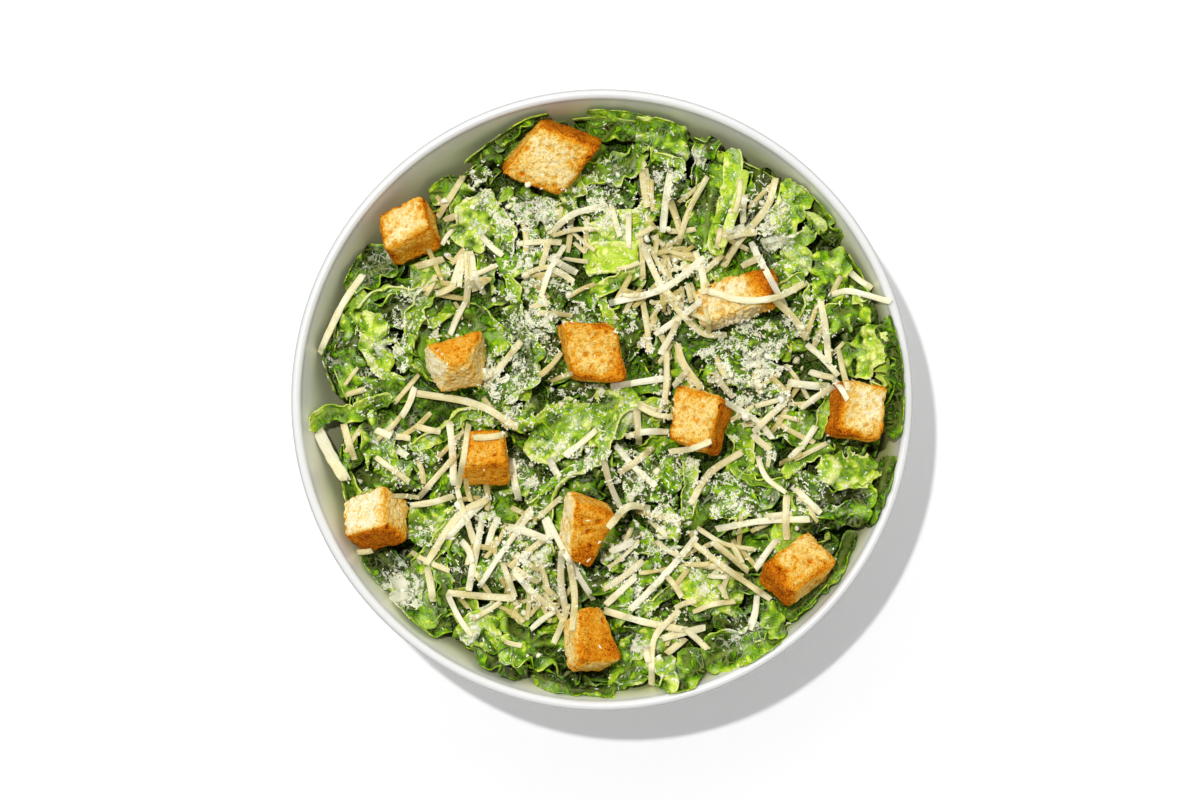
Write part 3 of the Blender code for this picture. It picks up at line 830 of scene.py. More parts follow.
def scatterLeaves(count, seed, tone, toneSpread, dressing, spacing, sizes, kinds, rollSpread, **placing):
    # filler leaves all over the bowl, at random headings
    dice = np.random.default_rng(seed)
    made = []
    for number in range(count):
        radius = 91 * math.sqrt((number + 0.5) / count)
        turn = number * 2.39996 + dice.normal(0, 0.15)
        x, y = radius * math.cos(turn), radius * math.sin(turn)
        length, width = dice.uniform(*sizes), dice.uniform(*sizes) * 0.6
        heading = dice.uniform(0, 2 * math.pi)
        if radius > 78:
            heading = turn + math.pi / 2 + dice.normal(0, 0.4)
        step = np.array([math.cos(heading), math.sin(heading)]) * length / 2
        bend = np.array([-step[1], step[0]]) * dice.uniform(-0.4, 0.4)
        middle = np.array([x, y])
        spine = [*(middle - step), *(middle + bend), *(middle + step)]
        made.append(addLeaf(kinds[dice.integers(len(kinds))], tone + dice.uniform(-toneSpread, toneSpread), dressing * dice.uniform(0.2, 1.6),
                            width, dice.uniform(-rollSpread, rollSpread), spine, int(seed * 100 + number), spacing,
                            arch=dice.uniform(-1.5, 3.0), **placing))
    return made


romaine = makeLeafMaterial()
# the under leaves are darker green, partly painted shade for the gaps between the leaves above
underLeaves = scatterLeaves(80, 5, 0.24, 0.12, 0.05, leafNet["coarse"], (24, 34), ["smooth", "puffy", "frilly"], 25, lift=-2, limit=-6, inset=6)
middleLeaves = scatterLeaves(120, 6, 0.42, 0.26, 0.15, leafNet["middle"], (15, 27), ["puffy", "frilly", "smooth", "puffy"], 38, lift=-1, limit=-2, inset=3)
leafBits = scatterLeaves(45, 8, 0.56, 0.28, 0.2, leafNet["middle"], (8, 16), ["puffy", "strap", "smooth", "frilly"], 45, lift=0, limit=0.5, inset=3)

# kind, tone from 0 dark to 1 lime, dressing, width, roll, spine as x, y, x, y and so on; then what differs
topLeaves = [
    # top left
    ("smooth", 0.42, 0.6, 13, 0, (-83, 37, -75, 42, -67, 47), {}),
    ("smooth", 0.58, 0.2, 10, 0, (-56, 67, -48, 67, -42, 61), {}),
    ("puffy", 0.50, 0.3, 9, 0, (-44, 76, -38, 82, -31, 88), {}),
    ("pocket", 0.16, 0.0, 7, 10, (-39, 78, -36, 78, -32, 77), dict(cup=-1.2)),
    ("pocket", 0.26, 0.1, 7, -10, (-44, 71, -40, 72, -34, 71), {}),
    ("strap", 0.40, 0.2, 6, 20, (-50, 52, -46, 58, -43, 64), {}),
    ("smooth", 0.45, 0.2, 8, 0, (-38, 47, -37, 43, -36, 38), {}),
    ("puffy", 0.90, 0.35, 14, 8, (-45, 48, -41, 57, -37, 66), {}),
    ("pocket", 0.30, 0.1, 16, 5, (-76, 23, -68, 28, -60, 30), dict(cup=1.0)),
    ("strap", 0.82, 0.3, 5, 40, (-79, 29, -74, 34, -67, 36, -60, 35), {}),
    ("frilly", 0.80, 0.8, 11, 0, (-62, 38, -56, 40, -49, 38), {}),
    ("strap", 0.76, 0.4, 8, 15, (-62, 19, -61, 27, -57, 34, -51, 37), {}),
    # left
    ("puffy", 0.50, 0.6, 20, 10, (-86, 1, -84, 12, -80, 26), {}),
    ("puffy", 0.50, 0.3, 10, 0, (-80, -1, -71, 4, -62, 2), {}),
    ("puffy", 0.92, 0.45, 10, 0, (-73, 30, -73, 18, -70, 8), dict(cup=-0.5)),
    ("strap", 0.70, 0.1, 7, 25, (-95, -9, -88, -4, -80, -4, -75, -1, -68, 1), dict(inset=-9)),
    ("puffy", 0.32, 0.4, 12, 0, (-67, -6, -60, -13, -52, -15), {}),
    ("frilly", 0.50, 0.3, 12, 0, (-73, -4, -72, -14, -70, -25), {}),
    ("puffy", 0.42, 0.2, 10, 0, (-74, -26, -66, -24, -57, -26), {}),
    ("smooth", 0.38, 0.1, 10, 0, (-59, -17, -54, -23, -49, -28), {}),
    ("strap", 0.80, 0.55, 7, 30, (-62, -15, -52, -10, -45, -4, -38, -5), {}),
    ("strap", 0.75, 0.1, 3, 0, (-48, -9, -48, -13, -47, -19), {}),
    ("puffy", 0.60, 0.2, 7, 0, (-62, 10, -64, 14, -62, 20), {}),
    # centre
    ("smooth", 0.22, 0.1, 8, 0, (-24, 29, -18, 21, -19, 12), {}),
    ("puffy", 0.22, 0.0, 9, 0, (-13, 2, -6, 4, 1, 1), {}),
    ("smooth", 0.34, 0.0, 9, 0, (-19, 7, -14, 10, -10, 13), {}),
    ("smooth", 0.46, 0.7, 11, 24, (-30, 32, -26, 22, -23, 13, -26, 5, -36, 1), {}),
    ("frilly", 0.62, 0.6, 9, 0, (-32, -3, -25, -7, -21, -9), {}),
    ("puffy", 0.30, 0.3, 13, 0, (-30, -16, -24, -22, -16, -28), {}),
    ("smooth", 0.60, 0.2, 8, 0, (12, -4, 16, -8, 20, -9), {}),
    ("puffy", 0.82, 0.25, 17, -8, (-22, -16, -11, -9, 2, -4, 12, 0), {}),
    ("strap", 0.78, 0.45, 6, 50, (12, -2, 6, -5, 2, -12, 0, -19, -8, -23, -14, -27, -17, -33, -17, -40), {}),
    ("strap", 0.75, 0.3, 4, 10, (12, -2, 17, -1, 22, -3), {}),
    ("puffy", 0.38, 0.3, 13, 0, (4, 17, 10, 22, 13, 31), {}),
    ("strap", 0.72, 0.4, 4, 20, (0, 33, 2, 28, 6, 23), {}),
    ("puffy", 0.40, 0.3, 15, 0, (6, -29, 15, -26, 25, -20), {}),
    # top
    ("strap", 0.35, 0.1, 6, 0, (-34, 82, -27, 89, -17, 94), {}),
    ("puffy", 0.40, 0.5, 12, 0, (-33, 43, -26, 47, -19, 53), {}),
    ("puffy", 0.56, 0.75, 9, 0, (-29, 60, -20, 61, -12, 59), {}),
    ("strap", 0.70, 0.6, 6, 15, (-33, 61, -30, 53, -31, 45), {}),
    ("strap", 0.70, 0.2, 5, 0, (-31, 41, -28, 35, -27, 31), {}),
    ("smooth", 0.48, 0.1, 11, 0, (-6, 90, 4, 89, 16, 88), {}),
    ("puffy", 0.62, 0.35, 14, 0, (10, 86, 18, 85, 28, 79), {}),
    ("smooth", 0.25, 0.3, 13, 0, (13, 72, 20, 72, 27, 71), {}),
    ("puffy", 0.30, 0.3, 10, 0, (-4, 66, 4, 66, 10, 64), {}),
    ("pocket", 0.62, 0.3, 12, -12, (-9, 73, 1, 73, 9, 76, 14, 81), {}),
    ("strap", 0.72, 0.2, 4, 30, (16, 79, 22, 78, 26, 75, 23, 70), {}),
    ("smooth", 0.76, 0.1, 7, 10, (-7, 74, -9, 66, -13, 58), dict(cup=0.7)),
    ("smooth", 0.74, 0.5, 8, 0, (8, 51, 12, 57, 15, 65), {}),
    ("puffy", 0.92, 0.3, 14, 0, (-4, 55, 4, 54, 13, 55), {}),
    ("rib", 0.97, 0.0, 10, 0, (-6, 45, 3, 46, 12, 46), {}),
    ("strap", 0.74, 0.35, 6, 20, (-4, 34, 4, 38, 13, 43), {}),
    ("strap", 0.60, 0.9, 5, 0, (32, 85, 31, 78, 31, 69), {}),
    ("frilly", 0.30, 0.2, 8, 0, (30, 80, 34, 82, 38, 84), {}),
    # top right
    ("smooth", 0.24, 0.3, 13, 0, (52, 74, 52, 64, 50, 53), {}),
    ("smooth", 0.50, 0.1, 13, -22, (32, 48, 34, 62, 37, 77), dict(lift=1.5)),
    ("strap", 0.86, 0.3, 8, 25, (42, 83, 43, 75, 41, 62, 37, 48), dict(lift=2.5)),
    ("rib", 0.98, 0.0, 3.5, 20, (46, 74, 44, 66, 41, 57, 38, 49), dict(thick=1.4, lift=3)),
    ("smooth", 0.36, 0.0, 7, 25, (66, 67, 71, 60, 73, 54, 79, 52), {}),
    ("puffy", 0.62, 0.85, 6, 0, (50, 51, 58, 51, 66, 52), {}),
    ("puffy", 0.84, 0.2, 11, -10, (64, 72, 61, 63, 59, 53), {}),
    ("frilly", 0.80, 0.3, 5, 20, (66, 61, 69, 57, 69, 54, 61, 52), {}),
    ("puffy", 0.62, 0.35, 12, 0, (73, 49, 74, 41, 73, 31), {}),
    ("puffy", 0.76, 0.4, 10, 0, (59, 48, 63, 44, 66, 41), dict(cup=-0.6)),
    ("strap", 0.72, 0.2, 5, 0, (56, 33, 60, 38, 66, 40), {}),
    ("smooth", 0.30, 0.3, 10, 0, (60, 22, 65, 27, 70, 32), {}),
    ("puffy", 0.56, 0.2, 11, 0, (70, 23, 78, 28, 87, 28), {}),
    ("smooth", 0.34, 0.0, 9, -12, (90, 28, 96, 15, 96, 2, 93, -13), {}),
    ("puffy", 0.88, 0.1, 13, 0, (78, 9, 85, 15, 91, 23), dict(blister=1.8)),
    # right
    ("puffy", 0.38, 0.35, 15, 0, (33, 12, 44, 11, 55, 8), {}),
    ("puffy", 0.42, 0.35, 12, 0, (42, 21, 51, 20, 60, 16), {}),
    ("puffy", 0.44, 0.2, 10, 0, (43, -3, 52, 0, 60, 2), {}),
    ("smooth", 0.58, 0.2, 12, 0, (54, -7, 62, -9, 70, -7), {}),
    ("smooth", 0.68, 0.15, 8, 0, (42, -2, 45, -12, 47, -22), {}),
    ("strap", 0.80, 0.3, 5, 20, (75, 3, 71, -6, 70, -13), {}),
    ("strap", 0.78, 0.2, 6, 0, (75, -16, 67, -18, 59, -25), {}),
    ("smooth", 0.26, 0.0, 9, 0, (94, -17, 90, -29, 83, -41), {}),
    ("smooth", 0.30, 0.2, 12, 0, (62, -28, 72, -33, 88, -30), {}),
    ("puffy", 0.36, 0.2, 8, 0, (62, -40, 74, -38, 87, -35), {}),
    ("puffy", 0.90, 0.1, 12, 0, (70, -22, 79, -23, 89, -21), dict(blister=1.8)),
    ("puffy", 0.48, 0.4, 14, 0, (32, -33, 44, -31, 58, -27), {}),
    ("strap", 0.68, 0.3, 4, 15, (41, -21, 49, -26, 58, -26), {}),
    ("strap", 0.78, 0.2, 6, 0, (29, -18, 28, -27, 27, -38), {}),
    # bottom
    ("smooth", 0.24, 0.0, 12, 0, (-76, -49, -70, -54, -64, -60), {}),
    ("puffy", 0.64, 0.35, 13, 0, (-63, -39, -55, -40, -47, -37), {}),
    ("smooth", 0.30, 0.2, 9, 0, (-46, -44, -46, -52, -46, -62), {}),
    ("puffy", 0.40, 0.4, 15, 0, (-39, -57, -30, -50, -21, -43), {}),
    ("smooth", 0.40, 0.1, 8, 0, (-62, -71, -56, -73, -48, -72), {}),
    ("smooth", 0.54, 0.3, 17, 0, (-64, -54, -60, -63, -55, -73), {}),
    ("strap", 0.66, 0.2, 7, 10, (-61, -54, -54, -48, -47, -40), {}),
    ("strap", 0.40, 0.2, 6, 0, (-53, -50, -51, -58, -50, -67), {}),
    ("frilly", 0.28, 0.1, 9, 0, (-41, -79, -33, -84, -26, -90), {}),
    ("frilly", 0.34, 0.1, 8, 0, (-20, -89, -9, -93, 3, -93), {}),
    ("puffy", 0.70, 0.65, 10, 0, (-48, -77, -39, -73, -30, -65), {}),
    ("frilly", 0.48, 0.1, 15, 0, (-34, -73, -24, -79, -12, -82), dict(blister=0.3)),
    ("smooth", 0.70, 0.1, 8, 0, (-28, -70, -21, -68, -14, -68), dict(cup=-0.5)),
    ("puffy", 0.62, 0.5, 10, 0, (-20, -45, -20, -55, -17, -65), {}),
    ("smooth", 0.24, 0.1, 10, 0, (-6, -59, 0, -58, 6, -54), {}),
    ("puffy", 0.44, 0.25, 13, 0, (2, -65, 10, -59, 20, -54), {}),
    ("puffy", 0.48, 0.45, 13, 0, (1, -53, 8, -47, 16, -43), {}),
    ("strap", 0.64, 0.3, 4, 10, (10, -69, 17, -65, 23, -61), {}),
    ("smooth", 0.20, 0.1, 10, 0, (20, -70, 28, -72, 36, -72), {}),
    ("smooth", 0.50, 0.2, 9, 0, (28, -80, 28, -87, 23, -96), {}),
    ("puffy", 0.56, 0.5, 14, 0, (4, -92, 10, -84, 15, -76), {}),
    ("puffy", 0.80, 0.5, 7, 0, (19, -81, 21, -88, 21, -95), {}),
    ("smooth", 0.30, 0.2, 8, 0, (36, -70, 43, -73, 50, -73), {}),
    ("smooth", 0.55, 0.3, 14, 0, (32, -84, 44, -79, 59, -76), {}),
    ("puffy", 0.60, 0.5, 8, 0, (53, -65, 55, -71, 57, -77), {}),
    ("strap", 0.30, 0.0, 6, 0, (80, -44, 76, -54, 68, -62, 60, -70), {}),
    ("puffy", 0.92, 0.1, 17, 0, (24, -55, 34, -60, 45, -63), dict(blister=1.8)),
]

handLeaves = [addLeaf(kind, tone, dressing, width, roll, spine, 7 + 3 * number, **changes)
              for number, (kind, tone, dressing, width, roll, spine, changes) in enumerate(topLeaves)]
half = len(handLeaves) // 2
skyline = HeightMap(102, 0.8)
for points, faces, values in underLeaves + middleLeaves + leafBits + handLeaves:
    skyline.raiseTo(*points.T)
cover = skyline.soft(6)
leafPieces = []
for name, parts in (("under_leaves", underLeaves), ("middle_leaves", middleLeaves), ("leaf_bits", leafBits),
                    ("top_leaves_a", handLeaves[:half]), ("top_leaves_b", handLeaves[half:])):
    points, faces, values = joinParts(parts)
    # leaves lying under others are darker: painted shade
    buried = easeIn(cover[skyline.index(points[:, 0], points[:, 1])] - points[:, 2], *leafFinish["buried"])
    values["tone"] -= leafFinish["buriedShade"] * buried
    leafPieces.append(makePiece(name, points, faces, values, romaine, "leaf", ["salad"] if name == "under_leaves" else ()))
    print(name, len(faces), "triangles")


def makeCore():
    # the packed mass under the leaves, standing a little clear of the wall; its dark tone is painted shade for the deep
    # gaps
    rings, drops, turned = 56, 8, 120
    turn = np.linspace(-math.pi, math.pi, turned, endpoint=False)
    edge = reachAt(np.cos(turn), np.sin(turn)) - heap["coreInset"]
    radius = np.linspace(0.001, 1, rings)[:, None] * edge
    x, y = radius * np.cos(turn), radius * np.sin(turn)
    top = np.maximum(coreHeight(x, y), wallHeightAt(radius) + 0.8)
    down = np.linspace(0.1, 1, drops)[:, None]
    sideRadius = edge * (1 - 0.05 * down)
    sideHeight = top[-1] + (wallHeightAt(sideRadius[-1]) + 0.4 - top[-1]) * down
    underRadius = sideRadius[-1] * np.linspace(0.95, 0.001, drops * 2)[:, None]
    underHeight = wallHeightAt(underRadius) + 0.4
    radius = np.vstack([radius, sideRadius, underRadius])
    points = np.stack([radius * np.cos(turn), radius * np.sin(turn), np.vstack([top, sideHeight, underHeight])], -1)
    faces = gridFaces(points.shape[0], turned, closed=True)
    flat = points.reshape(-1, 3)
    zero = np.zeros(len(flat))
    puff = 0.6 + 0.4 * softNoise(flat[:, 0] / 3, flat[:, 1] / 3, seed=15)
    values = dict(leafPlace=flat, marginHighlight=zero, puff=puff, ribs=zero, ridge=zero, dressing=zero, snow=zero, tone=zero + 0.2)
    return makePiece("packed_leaves", flat, faces, values, romaine, "leaf", ["salad"])


leafPieces.append(makeCore())
print("heap laid")


# croutons

breadFinish = dict(toast=[(0.0, paint(255, 244, 206)), (0.2, paint(251, 226, 154)), (0.4, paint(241, 198, 98)), (0.58, paint(231, 162, 38)),
                          (0.72, paint(224, 139, 16)), (0.86, paint(200, 106, 6)), (1.0, paint(138, 62, 2))], rough=0.72)


def makeBread():
    material, tree, shader = newMaterial("toasted_bread")
    here = objectPlace(tree)
    toast, pit = readValue(tree, "toast"), readValue(tree, "pit")
    fine = put(tree, "ShaderNodeTexNoise", {"Vector": here, "Scale": 1100.0, "Detail": 3.0, "Roughness": 0.7}).outputs["Fac"]
    grit = put(tree, "ShaderNodeTexNoise", {"Vector": here, "Scale": 2500.0, "Detail": 1.0}).outputs["Fac"]
    broad = put(tree, "ShaderNodeTexNoise", {"Vector": here, "Scale": 210.0, "Detail": 2.0}).outputs["Fac"]
    pore = put(tree, "ShaderNodeTexVoronoi", {"Vector": here, "Scale": 1350.0}).outputs["Distance"]
    hollow = easeNode(tree, pore, 0.42, 0.18)
    level = calc(tree, "ADD", toast, calc(tree, "MULTIPLY", calc(tree, "SUBTRACT", fine, 0.5), 0.52))
    level = calc(tree, "MULTIPLY_ADD", calc(tree, "SUBTRACT", grit, 0.5), 0.45, level)
    level = calc(tree, "ADD", level, calc(tree, "MULTIPLY", calc(tree, "SUBTRACT", broad, 0.5), 0.34))
    # darker in the pits and the pore hollows: painted shade in the recesses
    level = calc(tree, "ADD", level, calc(tree, "MULTIPLY", pit, 0.24))
    level = calc(tree, "ADD", level, calc(tree, "MULTIPLY", hollow, 0.18), clamp=True)
    colour = rampNode(tree, level, breadFinish["toast"])
    tree.links.new(colour, shader.inputs["Base Color"])
    tree.links.new(calc(tree, "MULTIPLY_ADD", fine, 0.3, breadFinish["rough"] - 0.15), shader.inputs["Roughness"])
    height = calc(tree, "SUBTRACT", calc(tree, "MULTIPLY", fine, 1.1), calc(tree, "MULTIPLY", hollow, 0.6))
    height = calc(tree, "MULTIPLY_ADD", grit, 0.5, height)
    bump = put(tree, "ShaderNodeBump", {"Strength": 0.8, "Distance": 0.00035, "Height": height})
    tree.links.new(bump.outputs["Normal"], shader.inputs["Normal"])
    shader.inputs["Specular IOR Level"].default_value = 0.06
    return material


bread = makeBread()


def bubblesOf(points, normals, number):
    # a few round holes where bubbles in the bread were cut open
    dice = np.random.default_rng(number + 90)
    upper = np.nonzero(normals[:, 2] > 0.2)[0]
    hole = np.zeros(len(points))
    for pick in dice.choice(upper, croutonShape["bubbles"]):
        away = np.linalg.norm(points - points[pick], axis=1) / dice.uniform(0.45, 1.0)
        hole = np.maximum(hole, easeIn(-away, -1.25, -0.5))
    return hole


def makeCrouton(number, spec):
    points, normals, faces = blockSurface(number)
    low, high = (np.array(corner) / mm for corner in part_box(f"crouton_{number:02d}"))
    turned = croutonTurn(spec)
    local = (points - (low + high) / 2) @ turned
    facing = normals @ turned
    halves = np.percentile(np.abs(local), 99, axis=0)
    share = np.abs(local) / halves
    weights = np.maximum(np.stack([facing[:, 0], -facing[:, 0], facing[:, 1], -facing[:, 1], facing[:, 2], -facing[:, 2]], 1), 0) ** 6
    levels = np.array([spec["right"], spec["left"], spec["back"], spec["front"], spec["top"], spec["front"]])
    # the sides and the bottom are made paler: painted light against the shade that falls on them
    levels[[0, 1, 2, 3, 5]] *= 0.88
    toast = weights @ levels / weights.sum(1)
    inOrder = np.sort(share, axis=1)
    edge = easeIn(inOrder[:, 1], 1 - croutonShape["edgeReach"], 1.0)
    blotch = softNoise(*(points / 5).T, seed=number + 40)
    toast = toast - 0.04 + (spec["edge"] + 0.20) * edge * (0.75 + 0.6 * blotch) + 0.12 * blotch
    hole = bubblesOf(points, normals, number)
    heading, amount = (math.radians(value) if place == 0 else value for place, value in enumerate(spec.get("baked", (0, 0))))
    across = (points - (low + high) / 2)[:, :2] @ np.array([math.cos(heading), math.sin(heading)]) / np.linalg.norm((high - low)[:2] / 2)
    # darker inside the bubble holes: painted shade
    toast = np.minimum(toast + amount * easeIn(across + 0.12 * blotch, 0.05, 0.5), 0.84) + 0.3 * hole
    soft = easeIn(-toast, -0.75, -0.35)  # pale crumb is open, brown crust is closed
    lump = softNoise(*(points / croutonShape["lump"]).T, seed=number)
    pore = softNoise(*(points / croutonShape["pore"]).T, seed=number + 20)
    crumb = softNoise(*(points / croutonShape["crumb"]).T, seed=number + 60)
    chip = np.maximum(softNoise(*(points / croutonShape["chip"]).T, seed=number + 80), 0) * edge
    pit = easeIn(-pore, 0.10, 0.55)
    rough = spec.get("rough", 1.0)
    move = croutonShape["lumpDepth"] * lump - 1.2 * hole - croutonShape["poreDepth"] * rough * pit * (0.25 + 0.75 * soft)
    move += croutonShape["crumbDepth"] * rough * crumb * (0.5 + 0.5 * soft) - croutonShape["chipDepth"] * chip
    moved = points + normals * move[:, None]
    return makePiece(f"toasted_crouton_{number:02d}", moved, faces, dict(toast=toast, pit=pit * (0.3 + 0.7 * soft)), bread, "toasted_bread", [f"crouton_{number:02d}"])


croutonPieces = [makeCrouton(number, spec) for number, spec in croutons.items()]
print("croutons toasted", sum(len(piece.data.polygons) for piece in croutonPieces) * 2)


# how high the food is at a place, for what is strewn over it

bpy.context.view_layer.update()
graph = bpy.context.evaluated_depsgraph_get()
rayTargets = []
for piece in leafPieces + croutonPieces:
    corners = np.array([list(corner) for corner in piece.bound_box]) / mm
    rayTargets.append((BVHTree.FromObject(piece, graph), corners.min(0), corners.max(0)))
laid = HeightMap(102, 0.6)


def topAt(x, y):
    # the highest surface under each place, with whatever has been laid since
    found = wallHeightAt(np.hypot(x, y)).astype(float)
    for number, (placeX, placeY) in enumerate(zip(x, y)):
        for tree, low, high in rayTargets:
            if low[0] < placeX < high[0] and low[1] < placeY < high[1] and high[2] > found[number]:
                hit = tree.ray_cast(Vector((placeX * mm, placeY * mm, 0.2)), Vector((0, 0, -1)))[0]
                if hit is not None:
                    found[number] = max(found[number], hit.z / mm)
    return np.maximum(found, laid.at(x, y))


shred = dict(width=2.05, thinWidth=1.6, thick=0.9, step=1.2, clearance=0.15, sag=0.4, fillers=0.6)

# start and end, or start, middle and end, in x and y; then the width if it is wide
shredRows = [
    (-44.5, 72.5, -53, 59), (-77, 40.5, -84, 30, -91, 15), (-51, 58, -46.5, 59.5), (-51.5, 50, -48, 55), (-44.5, 48, -48, 37),
    (-44, 48, -46, 36.5), (-43.5, 48, -44, 30), (-42.5, 48, -41, 35), (-42, 47, -38, 34), (-53.5, 34, -47, 37), (-39, 53, -32, 46.5),
    (-60, 43, -51, 45.5), (-17, 53.5, -9, 60, 2, 62.5), (-16, 53, -2, 55), (-27, 50.3, -13, 50.8), (-12, 50, -20, 32), (-17, 46, -8, 41),
    (-16, 42, -9, 38), (8.7, 60, 8.7, 49), (13, 74, 14.5, 62), (22, 73, 19.5, 54), (22, 64, 26, 52), (34, 72, 24.5, 50),
    (13, 50, 19, 37, 26, 30), (30, 48, 33, 34), (2, 31, 20, 36, 33, 46), (6, 34, 12, 34), (56, 71.5, 53, 62, 44, 51, 39, 43),
    (46, 66, 45.5, 57), (40, 54, 46, 56), (40, 52, 50, 54), (48, 51, 59, 30), (45, 43, 52, 46), (34, 35, 45, 32, 56, 33, 66, 38),
    (74, 34, 77, 40), (74, 34, 80, 35, 93, 31.5), (80, 41, 87, 36), (-49, 21, -43.7, 32), (-60.4, 2.3, -40.8, -1.3, -27, -9),
    (-38, 4, -26, 19), (-20, 7.7, -13, 15.4), (-64.6, -5.5, -60.4, 4.2), (-82.6, 1.6, -76.3, 3.5), (-73, -9.6, -68, -11.8),
    (-66.6, -11.8, -61.7, -12.5), (-60.4, -8.3, -52, -10.3), (-66, -16, -62.7, -18), (-91.5, -10, -82.5, -26, 3.8), (-83.3, -7.7, -79.8, -19.3),
    (-49.2, -6.8, -47.9, -27.6), (-42.9, -7.6, -46.4, -28.5), (-46.7, -28.5, -41.5, -44.5), (-41.5, -12.1, -30.3, -11),
    (-59.6, -32, -46.7, -17.4), (-61.7, -34, -47.7, -30.9), (-67.3, -30.9, -58.9, -31.6), (-29, -18.7, -26.6, -32.7),
    (-49.8, -44.5, -36.6, -31.2), (-12.2, -18, -1.7, -9.6), (-17, -18.7, -13.6, -25), (0.5, -19.4, 6, -34.7), (-30.3, -41, -16.4, -44.5),
    (-22.7, -34.7, -29.6, -44.5), (-18.5, -38.3, -16.4, -45), (17, 21, 32, 32), (21.5, 32, 32, 21.7, 40.3, 21), (13.1, 32, 15.2, 15.4),
    (18.7, 14.7, 24.3, 25.2), (24.3, 18.2, 26, 12, 32, 3.6), (20.8, 16, 20.1, -1.3), (22.9, 4.3, 27.8, 9.8), (2.7, 4.3, 20, 7),
    (36.1, 9.1, 42.4, 0.8), (39.6, -0.6, 50, -6.8, 55, -12.5), (48.7, -10.4, 59, -0.6), (48.4, -11, 54.3, -16), (59.8, 5.7, 73.8, 4.3),
    (64, -2.7, 74.5, 4.3), (66.8, 9.1, 75.9, 7), (74.5, 7, 78.7, 0), (66, 18, 76, 7.8), (70.3, 32, 73.1, 11.9), (55.6, 32, 66.1, 19.6),
    (60.5, -18.7, 68.9, -8.3), (21.5, -16.7, 35.1, -13.2), (28.5, -33.4, 34.7, -23.6, 45.2, -16.7), (50, -18, 52.9, -25, 59.2, -29.9),
    (61.2, -27.8, 70.3, -36.5), (4.1, -14.5, 17.3, -27.8), (5.5, -23.6, 16.6, -15.2), (7.6, -11.8, 21.5, -10.3), (11, -2.6, 12, -14.5),
    (11.7, -1.9, 22.8, -5.5), (1.9, -41, 8.3, -34.4, 15.6, -35), (36.8, -41.7, 66.8, -38.3), (52.2, -37.6, 61.2, -36.5),
    (59.5, -30.6, 59.5, -45), (-50, -62, -28.5, -63.9), (-49.7, -62.5, -42, -76), (-32, -52.4, -28, -63.5), (-28.5, -55, -15.2, -67.7),
    (-41.7, -70.5, -32.6, -65), (-56.4, -53.7, -54.3, -65), (-56.7, -53, -46.6, -37.7, -37, -32), (-46.3, -32, -40.3, -48.9),
    (-43, -61.4, -38.3, -36.3), (-36.8, -46.8, -33.4, -37.7), (-40, -60.7, -22.2, -35.6), (-45.3, -45.3, -41.8, -52.4),
    (-30.2, -40.8, -17.4, -45), (-29.6, -53.7, -19.4, -45.3), (-18, -37.7, -2.7, -64.6), (-12.9, -48, -11.7, -68.4),
    (-10.4, -52.4, -9.6, -74), (-15.6, -78.5, -11, -65.6), (-23, -74, -15, -68), (0.5, -61, 13.4, -51.7), (1.2, -66, 10.9, -56.9),
    (9, -67.7, 30.6, -44), (2.6, -48.9, 10.2, -45.3), (0.6, -67.7, 26.4, -74), (16, -92, 16.8, -77, 25, -67.7), (14.5, -79.5, 15, -84.4),
    (-79, -49, -74, -48.5), (29.2, -46, 54.3, -64.2), (30.6, -41.2, 49.4, -48.2), (36, -46, 47.3, -55.2), (17.3, -45.3, 25, -50.2),
    (15.2, -38.4, 20.8, -44), (34, -56.6, 40.3, -56.9), (19.4, -76.8, 33.4, -73.3), (20.8, -81.7, 27, -76.8), (26.4, -73.3, 34, -80.3),
    (47.6, -74, 50, -62.7), (20.8, -56.6, 25.7, -63.5), (49.4, -54.5, 56.3, -44.7), (41.7, -46, 45.2, -52.4),
]

cheeseFinish = dict(shades=[(0.0, paint(255, 254, 236)), (0.25, paint(253, 249, 216)), (0.6, paint(238, 226, 170)), (1.0, paint(210, 191, 112))],
                    greenShadeTint=paint(138, 160, 62), rough=0.5)


def makeCheese():
    # the attribute strand is how far along and across the strip, which gives it grooves
    material, tree, shader = newMaterial("hard_cheese")
    here = objectPlace(tree)
    warmthAndShade, strand = readValue(tree, "warmthAndShade"), readValue(tree, "strand", "Vector")
    fine = put(tree, "ShaderNodeTexNoise", {"Vector": here, "Scale": 1400.0, "Detail": 2.0}).outputs["Fac"]
    groove = put(tree, "ShaderNodeTexNoise", {"Vector": strand, "Scale": 1.0, "Detail": 2.0}).outputs["Fac"]
    dots = put(tree, "ShaderNodeTexVoronoi", {"Vector": here, "Scale": 900.0}).outputs["Distance"]
    share = calc(tree, "MULTIPLY_ADD", calc(tree, "SUBTRACT", fine, 0.5), 0.35, warmthAndShade)
    share = calc(tree, "MULTIPLY_ADD", calc(tree, "SUBTRACT", groove, 0.5), 0.45, share, clamp=True)
    colour = rampNode(tree, share, cheeseFinish["shades"])
    colour = mixPaint(tree, calc(tree, "MULTIPLY", easeNode(tree, dots, 0.24, 0.1), 0.6), colour, paint(255, 254, 244))
    # grains lying low are greened and darker: painted shade with painted green light from the leaves; some grains at
    # random are greened too
    colour = mixPaint(tree, calc(tree, "MULTIPLY", readValue(tree, "shadeAndGreenTint"), 0.75), colour, cheeseFinish["greenShadeTint"])
    tree.links.new(colour, shader.inputs["Base Color"])
    tree.links.new(calc(tree, "MULTIPLY_ADD", fine, 0.3, cheeseFinish["rough"] - 0.15), shader.inputs["Roughness"])
    height = calc(tree, "ADD", calc(tree, "MULTIPLY", fine, 0.6), groove)
    bump = put(tree, "ShaderNodeBump", {"Strength": 0.6, "Distance": 0.0004, "Height": height})
    tree.links.new(bump.outputs["Normal"], shader.inputs["Normal"])
    return material


hardCheese = makeCheese()


